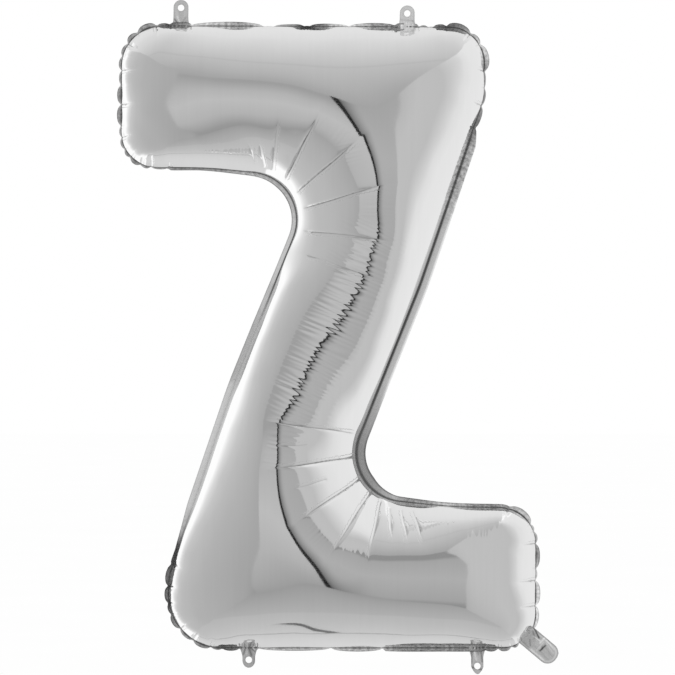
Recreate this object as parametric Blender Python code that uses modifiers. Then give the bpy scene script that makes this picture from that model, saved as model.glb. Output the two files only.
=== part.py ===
"""Foil letter balloon: an inflated Z of two film panels, a seal flange, four hanging tabs and a tail.

Metres, +Z up, the letter's front faces -Y. The origin is the middle of the letter on its seal plane.
Every piece lies in a layer of that plane: the flange, the tabs and the valve sleeve are in the middle
layer, and the panels and the tail's two layers are in front of it and behind it.
"""

import math

import bmesh
import bpy
import numpy as np
from mathutils import Vector
from mathutils.geometry import delaunay_2d_cdt

MM = 0.001

# Film. The real film is 0.04 mm thick, and these are the thinnest walls that stay practical as solids.
WALL = 2.0 * MM  # the wall of the two inflated panels
LAYER = 1.0 * MM  # the flange, the tabs, the tail's layers and the valve sleeve
GAP = 0.3 * MM  # between pieces that meet edge to edge

# The seam of the inflated letter, as corners (x, z, radius) in millimetres, clockwise from the top left.
SEAM_CORNERS = (
    (-298, 449, 57),  # top bar, its left end
    (221, 447, 50),
    (221, 349, 86),  # where the top bar's right end turns into the diagonal
    (128, 77, 600),
    (6, -227, 72),  # inside corner on the right
    (173, -245, 600),
    (295, -247, 50),  # bottom bar, its right end
    (295, -444, 46),
    (-230, -444, 74),
    (-230, -344, 100),  # where the bottom bar's left end turns into the diagonal
    (-137, -71, 600),
    (-14, 233, 72),  # inside corner on the left
    (-177, 249, 600),
    (-298, 250, 47),
)
# The flat cut of the film inside its seam. The letter is cut wider, and its bars slope: they come level,
# and the seam comes to the outline above, as the film is blown up.
FLAT_CORNERS = (
    (-322, 547, 105),
    (7, 529, 1700),
    (251, 475, 87),
    (246, 345, 330),
    (71, -219, 100),
    (350, -312, 68),
    (318, -539, 75),
    (12, -530, 1700),
    (-258, -476, 110),
    (-259, -333, 330),
    (-71, 222, 100),
    (-353, 319, 62),
)
FILM_STEP = 17 * MM  # between the film's points
FREE_STEPS = 900  # of blowing up with a free seam
SEAM_STEPS = 400  # of blowing up with the seam held on its outline
FREE_PRESSURE = 8e-6  # metres that the film is pushed out in a step
SEAM_PRESSURE = 4e-6
SQUEEZE = 0.03  # how much the film resists being pressed together, where 1 is as much as being pulled
SEAM_SLACK = 1 * MM  # how far the seam may stray from its outline while the film moves
CALM_ROUNDS = 5  # of evening out the film's fine gathers, which are no part of the solid
SEAM_SLOPE = 1.2  # the least that the film rises for each metre in from the seam
SLOPE_REACH = 14 * MM  # up to this rise
SEAM_INSET = 5 * MM  # how far inside the seam the next row of the film's points stays
RIM_ROUNDS = 60  # of evening out the steps between the points on the seam

# Seal flange.
FLANGE = 10 * MM  # its width outside the seam
SCALLOP_PITCH = 29 * MM  # between the creases that gather it round the letter's outer ends
SCALLOP_PINCH = 0.62  # the share of its width that is lost at a crease
FLANGE_STEP = 4.2 * MM
TURNING = 1.2  # how sharply the seam turns, in radians a metre, before the flange gathers

# Hanging tabs: their middles along the seam, and how far they reach from it to their tips.
TABS_TOP = {"tab_top_left": (-214.5 * MM, 40 * MM), "tab_top_right": (112 * MM, 33 * MM)}
TABS_BOTTOM = {"tab_bottom_left": (-116.5 * MM, 33 * MM), "tab_bottom_right": (213 * MM, 40 * MM)}
TAB_WIDTH = 21.4 * MM
TAB_ROOT = 27 * MM  # its flared width at the flange
TAB_FLARE = 8 * MM
HOLE_RADIUS = 4.7 * MM
HOLE_FROM_TIP = 11.5 * MM
ROUND_STEPS = 12  # straight sides in a tab's half-round tip

# Inflation tail, out of the bottom right corner.
TAIL_ANGLE = math.radians(-40)
TAIL_WIDTH = 27 * MM
TAIL_REACH = 55 * MM  # from the seam to its mouth
TAIL_MOUTH_RADIUS = 9 * MM
TAIL_BAND = 4 * MM  # the sealed strip along each side of the tail
SLEEVE_INSIDE = 14 * MM  # how far the valve sleeve reaches in past the seam

FOIL = (0.78, 0.78, 0.80, 1.0)
SLEEVE_FILM = (0.86, 0.87, 0.88, 1.0)


def clear_scene():
    for obj in list(bpy.data.objects):
        bpy.data.objects.remove(obj)


def new_material(name, colour, roughness, metallic):
    material = bpy.data.materials.new(name)
    material.use_nodes = True
    shader = material.node_tree.nodes["Principled BSDF"]
    shader.inputs["Base Color"].default_value = colour
    shader.inputs["Roughness"].default_value = roughness
    shader.inputs["Metallic"].default_value = metallic
    return material


def rounded_outline(corners, step):
    """Points about one step apart along a closed outline whose corners are rounded to their radius."""
    points = []
    count = len(corners)
    for i in range(count):
        corner = Vector(corners[i][:2])
        back = (Vector(corners[i - 1][:2]) - corner).normalized()
        ahead = (Vector(corners[(i + 1) % count][:2]) - corner).normalized()
        half_angle = back.angle(ahead) / 2
        radius = corners[i][2]
        centre = corner + (back + ahead).normalized() * radius / math.sin(half_angle)
        start = corner + back * radius / math.tan(half_angle)
        turn = math.pi - 2 * half_angle
        side = 1 if back.cross(ahead) > 0 else -1
        steps = max(2, round(turn * radius / step))
        spoke = start - centre
        for k in range(steps + 1):
            angle = side * -turn * k / steps
            turned = Vector(
                (
                    spoke.x * math.cos(angle) - spoke.y * math.sin(angle),
                    spoke.x * math.sin(angle) + spoke.y * math.cos(angle),
                )
            )
            points.append(centre + turned)
    return evenly_spaced(points, step)


def evenly_spaced(points, step):
    """The closed line through the points again, with points one step apart."""
    line = np.array([tuple(p) for p in points] + [tuple(points[0])])
    along = np.concatenate([[0], np.cumsum(np.linalg.norm(np.diff(line, axis=0), axis=1))])
    count = round(along[-1] / step)
    at = np.arange(count) * along[-1] / count
    return np.stack([np.interp(at, along, line[:, k]) for k in range(2)], axis=1)


def outward(line):
    """The outward normal at each point of a closed line that runs clockwise."""
    run = np.roll(line, -1, axis=0) - np.roll(line, 1, axis=0)
    run /= np.linalg.norm(run, axis=1)[:, None]
    return np.stack([-run[:, 1], run[:, 0]], axis=1)


def turning(line, reach):
    """How fast a closed clockwise line turns at each point, in radians a metre, over a few points each way."""
    before = line - np.roll(line, reach, axis=0)
    after = np.roll(line, -reach, axis=0) - line
    cross = before[:, 0] * after[:, 1] - before[:, 1] * after[:, 0]
    angle = np.arctan2(-cross, (before * after).sum(axis=1))
    return angle / np.linalg.norm(after, axis=1)


def away_from(points, line):
    """The distance from each point to a closed line."""
    ends = np.roll(line, -1, axis=0) - line
    best = np.full(len(points), np.inf)
    for start, edge in zip(line, ends):
        share = np.clip((points - start) @ edge / (edge @ edge), 0, 1)
        best = np.minimum(best, np.linalg.norm(points - start - share[:, None] * edge, axis=1))
    return best


def film_rows(rim):
    """Points inside the rim of the flat cut: three rows that follow it, and an even grid inside them."""
    height = FILM_STEP * math.sqrt(3) / 2
    normals = outward(rim)
    chosen = np.empty((0, 2))
    for row in range(1, 4):
        line = rim - normals * height * row
        if row % 2:
            line = (line + np.roll(line, -1, axis=0)) / 2
        for point in line[away_from(line, rim) > 0.93 * height * row]:
            if len(chosen) == 0 or np.linalg.norm(chosen - point, axis=1).min() > 0.72 * FILM_STEP:
                chosen = np.vstack([chosen, point])
    low = rim.min(axis=0)
    columns, rows = ((rim.max(axis=0) - low) / (FILM_STEP, height)).astype(int) + 2
    grid = [(c * FILM_STEP + r % 2 * FILM_STEP / 2, r * height) for r in range(rows) for c in range(columns)]
    grid = np.array(grid) + low
    grid = grid[inside(grid, rim)]
    return np.vstack([chosen, grid[away_from(grid, rim) > 3.65 * height]])


def inside(points, line):
    """Which points lie inside a closed line."""
    within = np.zeros(len(points), bool)
    for (x0, z0), (x1, z1) in zip(line, np.roll(line, -1, axis=0)):
        crosses = (z0 > points[:, 1]) != (z1 > points[:, 1])
        if z0 != z1:
            within ^= crosses & (points[:, 0] < (x1 - x0) * (points[:, 1] - z0) / (z1 - z0) + x0)
    return within


def triangulated(rim, inner):
    """The region inside the rim as triangles: (points, faces), the rim's points first."""
    points = [Vector(p) for p in np.vstack([rim, inner])]
    count = len(rim)
    edges = [(i, (i + 1) % count) for i in range(count)]
    made = delaunay_2d_cdt(points, edges, [], 1, 1e-6)
    return np.array([tuple(p) for p in made[0]]), np.array([tuple(face) for face in made[2]])


def film_edges(faces):
    """Each edge of the triangles once, as pairs of points."""
    sides = np.vstack([faces[:, [0, 1]], faces[:, [1, 2]], faces[:, [2, 0]]])
    return np.unique(np.sort(sides, axis=1), axis=0)


def edge_batches(flat, faces):
    """The film's edges with their flat lengths, in batches in which no two edges share a point."""
    edges = film_edges(faces)
    taken = [set() for _ in flat]
    batch_of = []
    for a, b in edges.tolist():
        batch = 0
        while batch in taken[a] or batch in taken[b]:
            batch += 1
        taken[a].add(batch)
        taken[b].add(batch)
        batch_of.append(batch)
    batches = []
    for batch in range(max(batch_of) + 1):
        a, b = edges[np.array(batch_of) == batch].T
        batches.append((a, b, np.linalg.norm(flat[a] - flat[b], axis=1)))
    return batches


def summed(faces, values, count):
    """The sum, at each point, of the values of the triangles round it."""
    total = np.zeros((count, values.shape[1]))
    for corner in range(3):
        for k in range(values.shape[1]):
            total[:, k] += np.bincount(faces[:, corner], values[:, k], count)
    return total


def blow_up(at, flat, faces, rim_count, steps, pressure, damping, seam=None):
    """The film after some steps of being blown up, with its rim on the seal plane.

    Its edges can't grow past their flat length, and give way almost freely when they are pressed. The
    rim is drawn to the seam's outline where one is given.
    """
    batches = edge_batches(flat, faces)
    sides = flat[faces[:, 1:]] - flat[faces[:, :1]]
    area = np.abs(sides[:, 0, 0] * sides[:, 1, 1] - sides[:, 0, 1] * sides[:, 1, 0]) / 2
    weight = summed(faces, area[:, None] / 3, len(at))
    speed = np.zeros_like(at)
    rim = np.arange(rim_count)
    for step in range(steps):
        a, b, c = (at[faces[:, k]] for k in range(3))
        push = np.cross(c - a, b - a) / 2
        moved = at + speed * damping + summed(faces, push, len(at)) / 3 / weight * pressure
        for start, end, length in batches:
            pull = moved[end] - moved[start]
            now = np.sqrt((pull * pull).sum(axis=1))
            error = (now - length) / now
            pull *= (np.where(error > 0, error, error * SQUEEZE) / 2)[:, None]
            moved[start] += pull
            moved[end] -= pull
        moved[rim, 1] = 0
        if seam is not None:
            nearest = nearest_on(seam, moved[rim][:, [0, 2]])
            normals = outward(seam)[nearest]
            off = ((moved[rim][:, [0, 2]] - seam[nearest]) * normals).sum(axis=1)
            over = 0.3 * (off - np.clip(off, -SEAM_SLACK, SEAM_SLACK))
            moved[rim, 0] -= over * normals[:, 0]
            moved[rim, 2] -= over * normals[:, 1]
        moved[:, 1] = np.maximum(moved[:, 1], 0)
        speed = moved - at
        at = moved
    return at


def nearest_on(line, points):
    """The number of the line's point nearest to each of the points."""
    return np.argmin(((points[:, None] - line[None]) ** 2).sum(axis=2), axis=1)


def turned_to(at, rim_count, seam):
    """The film turned and shifted in the seal plane until its rim lies on the seam's outline."""
    rim = at[:rim_count][:, [0, 2]]
    now = rim
    for _ in range(12):
        aim = seam[nearest_on(seam, now)]
        cross = (rim - rim.mean(axis=0)).T @ (aim - aim.mean(axis=0))
        angle = math.atan2(cross[0, 1] - cross[1, 0], cross[0, 0] + cross[1, 1])
        turn = np.array([[math.cos(angle), math.sin(angle)], [-math.sin(angle), math.cos(angle)]])
        shift = aim.mean(axis=0) - rim.mean(axis=0) @ turn
        now = rim @ turn + shift
    turned = at.copy()
    turned[:, [0, 2]] = at[:, [0, 2]] @ turn + shift
    return turned


def calmed(at, faces, rim_count):
    """The film evened out without letting it shrink, its rim left where it is."""
    a, b = film_edges(faces).T
    count = len(at)
    neighbours = np.bincount(a, minlength=count) + np.bincount(b, minlength=count)
    for step in range(2 * CALM_ROUNDS):
        total = [np.bincount(a, at[b, k], count) + np.bincount(b, at[a, k], count) for k in range(3)]
        change = np.stack(total, axis=1) / neighbours[:, None] - at
        change[:rim_count] = 0
        at = at + (0.5 if step % 2 == 0 else -0.52) * change
    return at


def evened_rim(rim, seam):
    """The rim's points moved onto the seam's outline, with more even steps between them."""
    nearest = nearest_on(seam, rim)
    count = len(seam)
    along = nearest[0] + (nearest - nearest[0]) % count
    for _ in range(RIM_ROUNDS):
        before = np.concatenate([[along[-1] - count], along[:-1]])
        after = np.concatenate([along[1:], [along[0] + count]])
        along = (before + 2 * along + after) / 4
    closed = np.vstack([seam, seam, seam[:1]])
    return np.stack([np.interp(along, np.arange(2 * count + 1), closed[:, k]) for k in range(2)], axis=1)


def kept_inside(at, seam):
    """The film's points a little inside the seam's outline, and standing up off the seal plane there."""
    nearest = nearest_on(seam, at[:, [0, 2]])
    normals = outward(seam)[nearest]
    over = np.maximum(((at[:, [0, 2]] - seam[nearest]) * normals).sum(axis=1) + SEAM_INSET, 0)
    kept = at.copy()
    kept[:, [0, 2]] -= over[:, None] * normals
    kept[:, 1] = np.maximum(at[:, 1], np.minimum(SEAM_SLOPE * away_from(kept[:, [0, 2]], seam), SLOPE_REACH))
    return kept


def blown_up_film(seam):
    """The inflated film behind the seal plane: (points, faces), from its flat cut and an even pressure."""
    cut = rounded_outline([(x * MM, z * MM, radius * MM) for x, z, radius in FLAT_CORNERS], FILM_STEP)
    flat, faces = triangulated(cut, film_rows(cut))
    rim_count = len(cut)
    at = np.stack([flat[:, 0], 0.1 * np.sqrt(away_from(flat, cut)), flat[:, 1]], axis=1)
    at = blow_up(at, flat, faces, rim_count, FREE_STEPS, FREE_PRESSURE, 0.985)
    at = turned_to(at, rim_count, seam)
    at = blow_up(at, flat, faces, rim_count, SEAM_STEPS, SEAM_PRESSURE, 0.97, seam)
    at[:rim_count, [0, 2]] = evened_rim(at[:rim_count][:, [0, 2]], seam)
    at = calmed(at, faces, rim_count)
    at[rim_count:] = kept_inside(at[rim_count:], seam)
    return at, faces


def mesh_object(name, points, faces, material, collection):
    mesh = bpy.data.meshes.new(name)
    mesh.from_pydata([tuple(p) for p in points], [], faces.tolist())
    mesh.materials.append(material)
    obj = bpy.data.objects.new(name, mesh)
    collection.objects.link(obj)
    return obj


def face_outwards(mesh):
    shape = bmesh.new()
    shape.from_mesh(mesh)
    bmesh.ops.recalc_face_normals(shape, faces=shape.faces)
    shape.to_mesh(mesh)
    shape.free()


def film_panel(name, side, film, material, collection):
    """One inflated film panel, open where it meets the flange. side is -1 in front and 1 behind."""
    points, faces = film
    seat = LAYER / 2
    skin = points * (1, side, 1) + (0, side * seat, 0)
    obj = mesh_object(name, skin, faces, material, collection)
    if side * obj.data.polygons[0].normal.y < 0:
        obj.data.flip_normals()
    wall = obj.modifiers.new("wall", "SOLIDIFY")
    wall.thickness = WALL
    wall.offset = -1
    bpy.context.view_layer.update()
    graph = bpy.context.evaluated_depsgraph_get()
    walled = bpy.data.meshes.new_from_object(obj.evaluated_get(graph))
    obj.modifiers.remove(wall)
    obj.data = walled
    for vertex in walled.vertices:
        if side * vertex.co.y < seat:
            vertex.co.y = side * seat
    face_outwards(walled)
    walled.shade_smooth()
    walled.set_sharp_from_angle(angle=math.radians(50))
    return obj


def flat_plate(name, loops, front, back, material, collection):
    """A flat piece with the outlines given, from y = front to y = back. A second outline is a hole."""
    curve = bpy.data.curves.new(name, "CURVE")
    curve.dimensions = "2D"
    curve.fill_mode = "BOTH"
    curve.extrude = (back - front) / 2
    for loop in loops:
        spline = curve.splines.new("POLY")
        spline.points.add(len(loop) - 1)
        spline.use_cyclic_u = True
        for point, (x, z) in zip(spline.points, loop):
            point.co = (x, z, 0, 1)
    source = bpy.data.objects.new(name + "_outline", curve)
    collection.objects.link(source)
    source.rotation_euler = (math.pi / 2, 0, 0)
    source.location.y = (front + back) / 2
    bpy.context.view_layer.update()
    graph = bpy.context.evaluated_depsgraph_get()
    mesh = bpy.data.meshes.new_from_object(source.evaluated_get(graph))
    mesh.transform(source.matrix_world)
    bpy.data.objects.remove(source)
    for vertex in mesh.vertices:
        vertex.co.y = front if vertex.co.y < (front + back) / 2 else back
    shape = bmesh.new()
    shape.from_mesh(mesh)
    bmesh.ops.remove_doubles(shape, verts=shape.verts, dist=0.01 * MM)
    bmesh.ops.recalc_face_normals(shape, faces=shape.faces)
    shape.to_mesh(mesh)
    shape.free()
    mesh.name = name
    mesh.materials.clear()
    mesh.materials.append(material)
    obj = bpy.data.objects.new(name, mesh)
    collection.objects.link(obj)
    return obj


def tail_frame(seam):
    """The point where the tail's middle line leaves the seam, the line's direction and its left side."""
    along = np.array([math.cos(TAIL_ANGLE), math.sin(TAIL_ANGLE)])
    normals = outward(seam)
    lower_right = np.argmax(normals @ along + (seam @ along) * 4)
    return seam[lower_right], along, np.array([-along[1], along[0]])


def flange_width(seam):
    """The flange's width along the seam: even where the seam is straight, and gathered round its ends."""
    gathered = np.clip(turning(seam, 8) / TURNING, 0, 1)
    gathered = np.convolve(np.concatenate([gathered[-8:], gathered, gathered[:8]]), np.ones(17) / 17, "valid")
    travelled = np.arange(len(seam)) * FLANGE_STEP
    crease = 1 - np.abs(np.sin(math.pi * travelled / SCALLOP_PITCH)) ** 0.6
    return FLANGE * (1 - SCALLOP_PINCH * gathered * crease)


def seal_flange(seam, material, collection):
    """The band where the two films are welded, with a strip down each side of the tail."""
    root, along, across = tail_frame(seam)
    normals = outward(seam)
    outer = seam + normals * flange_width(seam)[:, None]
    inner = seam - normals * WALL
    outer_run = opened(outer, root, across, TAIL_WIDTH / 2)
    inner_run = opened(inner, root, across, TAIL_WIDTH / 2 - TAIL_BAND)
    mouth = TAIL_REACH - TAIL_MOUTH_RADIUS
    outer_left = root + along * mouth + across * TAIL_WIDTH / 2
    outer_right = root + along * mouth - across * TAIL_WIDTH / 2
    inner_left = outer_left - across * TAIL_BAND
    inner_right = outer_right + across * TAIL_BAND
    loop = [outer_right, *outer_run, outer_left, inner_left, *inner_run[::-1], inner_right]
    return flat_plate("seal_flange", [loop], -LAYER / 2, LAYER / 2, material, collection)


def opened(line, root, across, half_width):
    """A closed line cut open where the tail crosses it, from the tail's right side round to its left."""
    side = (line - root) @ across
    near = np.linalg.norm(line - root, axis=1) < 2 * TAIL_WIDTH
    kept = ~(near & (np.abs(side) < half_width + 0.5 * MM))
    first = next(i for i in range(len(line)) if kept[i] and not kept[i - 1])
    run = np.roll(line, -first, axis=0)
    return run[np.roll(kept, -first)]


def hanging_tab(name, middle, reach, seam_z, up, material, collection):
    """A tab with a round hole, flared where it meets the flange. up is 1 on the top seam, -1 below."""
    half = TAB_WIDTH / 2
    root = FLANGE + GAP
    loop = [(-TAB_ROOT / 2, root)]
    for k in range(1, 5):
        share = k / 4
        flare = (TAB_ROOT / 2 - half) * (1 - math.sin(share * math.pi / 2))
        loop.append((-half - flare, root + TAB_FLARE * share))
    for k in range(ROUND_STEPS + 1):
        angle = math.pi * (1 - k / ROUND_STEPS)
        loop.append((half * math.cos(angle), reach - half + half * math.sin(angle)))
    loop += [(-x, out) for x, out in loop[4::-1]]
    hole = []
    for k in range(2 * ROUND_STEPS):
        angle = math.pi * k / ROUND_STEPS
        hole.append((HOLE_RADIUS * math.cos(angle), reach - HOLE_FROM_TIP + HOLE_RADIUS * math.sin(angle)))
    loops = [[(middle + x, seam_z + up * out) for x, out in line] for line in (loop, hole)]
    return flat_plate(name, loops, -LAYER / 2, LAYER / 2, material, collection)


def seam_height(seam, x, up):
    """The seam's height at x along the top of the letter, or along its bottom."""
    near = seam[np.abs(seam[:, 0] - x) < FLANGE]
    return up * (up * near[:, 1]).max()


def tail_outline(root, along, across, half_width, start, end, radius):
    """A strip along the tail's line with its two corners at the mouth rounded."""
    loop = [root + along * start - across * half_width]
    for side, first in ((-1, -90), (1, 0)):
        middle = root + along * (end - radius) + across * side * (half_width - radius)
        for k in range(5):
            angle = math.radians(first + 90 * k / 4)
            loop.append(middle + radius * (math.cos(angle) * along + math.sin(angle) * across))
    loop.append(root + along * start + across * half_width)
    return loop


def tail_layer(name, side, seam, material, collection):
    """One of the tail's two film layers, laid on the flange and ending just short of the panel."""
    root, along, across = tail_frame(seam)
    start = 0.6 * MM
    loop = tail_outline(root, along, across, TAIL_WIDTH / 2, start, TAIL_REACH, TAIL_MOUTH_RADIUS)
    near = [root + along * start]
    near_seam = seam + outward(seam) * 2 * GAP
    offset = near_seam - root
    in_tail = (np.abs(offset @ across) < TAIL_WIDTH / 2) & (np.linalg.norm(offset, axis=1) < 2 * TAIL_WIDTH)
    near = sorted(near_seam[in_tail], key=lambda p: -((p - root) @ across))
    loop = loop[1:-1] + near
    y_near, y_far = LAYER / 2, 1.5 * LAYER
    front, back = (side * y_far, side * y_near) if side < 0 else (y_near, y_far)
    return flat_plate(name, [loop], front, back, material, collection)


def valve_sleeve(seam, material, collection):
    """The flat self-sealing valve between the tail's layers, from its mouth to just inside the seam."""
    root, along, across = tail_frame(seam)
    half_width = TAIL_WIDTH / 2 - TAIL_BAND - GAP
    loop = tail_outline(root, along, across, half_width, -SLEEVE_INSIDE, TAIL_REACH - 2 * MM, 3 * MM)
    return flat_plate("valve_sleeve", [loop], -LAYER / 2, LAYER / 2, material, collection)


def main():
    clear_scene()
    balloon = bpy.data.collections.new("foil_letter_balloon")
    bpy.context.scene.collection.children.link(balloon)
    foil = new_material("silver_foil", FOIL, 0.14, 1.0)
    sleeve_film = new_material("valve_film", SLEEVE_FILM, 0.35, 0.0)

    corners = [(x * MM, z * MM, radius * MM) for x, z, radius in SEAM_CORNERS]
    film = blown_up_film(rounded_outline(corners, 3 * MM))
    film_panel("film_front", -1, film, foil, balloon)
    film_panel("film_back", 1, film, foil, balloon)

    fine_seam = rounded_outline(corners, FLANGE_STEP)
    seal_flange(fine_seam, foil, balloon)
    for up, tabs in ((1, TABS_TOP), (-1, TABS_BOTTOM)):
        for name, (middle, reach) in tabs.items():
            hanging_tab(name, middle, reach, seam_height(fine_seam, middle, up), up, foil, balloon)
    tail_layer("tail_front", -1, fine_seam, foil, balloon)
    tail_layer("tail_back", 1, fine_seam, foil, balloon)
    valve_sleeve(fine_seam, sleeve_film, balloon)


main()
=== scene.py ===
"""Looks of the foil letter balloon.

The film is cut flat and blown up by simulation against the seam of the CAD model. Creases, pinches and
fine wrinkles are pressed into it, and the seal band, the hanging tabs and the inflation tail are laid
round the seam that comes out. It hangs in a light tent, which only its reflections show.
"""

import math

import bpy
import numpy as np
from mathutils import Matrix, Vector, noise
from mathutils.geometry import delaunay_2d_cdt
from numpy.linalg import norm


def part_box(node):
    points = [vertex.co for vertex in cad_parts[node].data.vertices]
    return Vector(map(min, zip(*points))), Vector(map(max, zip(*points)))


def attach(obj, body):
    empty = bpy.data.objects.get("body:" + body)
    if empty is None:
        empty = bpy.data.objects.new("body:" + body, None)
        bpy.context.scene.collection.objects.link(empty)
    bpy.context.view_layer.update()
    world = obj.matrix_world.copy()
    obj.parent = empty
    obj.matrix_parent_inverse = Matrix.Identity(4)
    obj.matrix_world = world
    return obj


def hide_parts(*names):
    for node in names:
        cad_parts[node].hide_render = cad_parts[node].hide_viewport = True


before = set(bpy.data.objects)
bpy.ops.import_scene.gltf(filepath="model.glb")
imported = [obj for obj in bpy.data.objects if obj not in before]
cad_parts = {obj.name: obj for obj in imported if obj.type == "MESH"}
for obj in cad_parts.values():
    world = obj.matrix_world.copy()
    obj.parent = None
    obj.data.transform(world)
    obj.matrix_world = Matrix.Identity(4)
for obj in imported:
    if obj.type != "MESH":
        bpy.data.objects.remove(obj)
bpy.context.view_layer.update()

MM = 0.001

# Photograph scale: the picture is 675 pixels square, and the letter's middle is at this pixel.
PIXEL = 1.443 * MM
MIDDLE_PIXEL = (329.5, 338.5)
PICTURE = 675
CAMERA_AWAY = 6.0
SENSOR = 36  # the camera's width, in its own millimetres

# The seam of the inflated letter, as the CAD model has it: corners (x, z, radius) in millimetres.
SEAM_CORNERS = (
    (-298, 449, 57), (221, 447, 50), (221, 349, 86), (128, 77, 600), (6, -227, 72), (173, -245, 600),
    (295, -247, 50), (295, -444, 46), (-230, -444, 74), (-230, -344, 100), (-137, -71, 600), (-14, 233, 72),
    (-177, 249, 600), (-298, 250, 47),
)
# The flat cut of the film inside its seam. The bars slope, and come level as the letter fills.
FLAT_CORNERS = (
    (-322, 547, 105), (7, 529, 1700), (251, 475, 87), (246, 345, 330), (71, -219, 100), (350, -312, 68),
    (318, -539, 75), (12, -530, 1700), (-258, -476, 110), (-259, -333, 330), (-71, 222, 100),
    (-353, 319, 62),
)
SEAM_OUT = 2.3 * MM  # how far outside the CAD model's seam line the foil's fold is drawn
# Where the inner sides of the two arms stand fuller than the settled film leaves them: the pixel, the height
# in millimetres, and how far it reaches sideways and up and down, in pixels.
FULL_PLACES = (((225, 150), 14, 70, 36), ((436, 535), 8, 42, 32), ((462, 585), 3, 25, 30))
FULL_EDGE = 14 * MM  # from the rim to where they stand out in full
COARSE_STEP = 17 * MM  # between the film's points while it is blown up
RIM_ROWS = 3  # of points that follow the rim
PLAIN_STEP = 4.3 * MM  # in the finished mesh, on plain film
SEAM_STEP = 2.1 * MM  # along the seam and at the bends
WRINKLE_STEP = 1.5 * MM  # in creases and wrinkles
PIECE_STEP = 1.2 * MM  # on the tabs and the tail

# How the film is blown up, first free and then held near the seam: the steps, the pressure, how much of its
# speed it keeps, and its stiffness.
BLOWN_FREE = (900, 8e-6, 0.985, 0.004)
BLOWN_TO_SEAM = (400, 4e-6, 0.97, 0.002)
SEAM_SLACK = 1 * MM
PRESSED_BACK = 0.03  # how much of its flat size the film takes back when it is pressed together
DENT_ROUNDS = 20
CALM_ROUNDS = 8

# How a triangle is cut when none, one, two or all of its sides are split. Its corners are 0 to 2, and the
# middles of its sides 3 to 5.
CUTS = (
    ((0, 1, 2),),
    ((0, 3, 2), (3, 1, 2)),
    ((3, 1, 4), (0, 3, 2), (3, 4, 2)),
    ((0, 3, 5), (3, 1, 4), (5, 4, 2), (3, 4, 5)),
)

# Creases in pixels of the photograph: both ends, and the depth as a share of the deepest.
CREASES = (
    ((285, 180), (318, 117), 1.0), ((297, 192), (358, 143), 1.0), ((305, 208), (383, 188), 0.9),
    ((305, 231), (392, 243), 0.7), ((307, 256), (383, 282), 0.35), ((273, 171), (277.5, 122), 0.7),
    ((264, 168), (258, 142), 0.35), ((255, 165), (247, 143), 0.3), ((353, 434), (266, 419), 0.6),
    ((308, 444), (276, 443), 0.25), ((354, 456), (276, 466), 0.9), ((327, 477), (292, 488), 0.25),
    ((361, 478), (299, 519), 1.0), ((373, 490), (331, 552), 1.0), ((383, 500), (367, 559), 0.9),
    ((391, 507), (390.5, 540), 0.35), ((401.5, 508.5), (407, 543), 0.45), ((412.5, 510), (424, 543), 0.45),
)
CREASE_DEPTH = 1.3 * MM
CREASE_REACH = 1.6 * MM
# CREASE_LINE: how far the painted shade beside a crease's sharp line reaches
CREASE_LINE = 0.6 * MM  # how far the dark of its sharp line reaches
CREASE_EDGE = 5 * MM  # no mark further from a fold
PILLOW_DEPTH = 1.5 * MM  # how far the film between two creases stands proud of them
PILLOW_REACH = 10 * MM

# Fine wrinkles in pixels: the middle line's two ends, the reach along and across, the pitch and the height.
WRINKLES = (
    ((372, 238), (294, 412), 34, 4.6, 1.0), ((379, 190), (376, 238), 16, 3.1, 0.35),
    ((290, 418), (280, 466), 16, 3.6, 0.5), ((345, 135), (352, 170), 14, 3.3, 0.3),
    ((322, 124), (350, 146), 9, 3.8, 0.3), ((204, 152), (262, 157), 10, 4.6, 0.3),
    ((303, 516), (331, 549), 8, 3.3, 0.4), ((340, 552), (366, 556), 9, 3.6, 0.5),
    ((396, 524), (500, 529), 9, 4.4, 0.25),
)
WRINKLE_HEIGHT = 0.23 * MM

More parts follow.
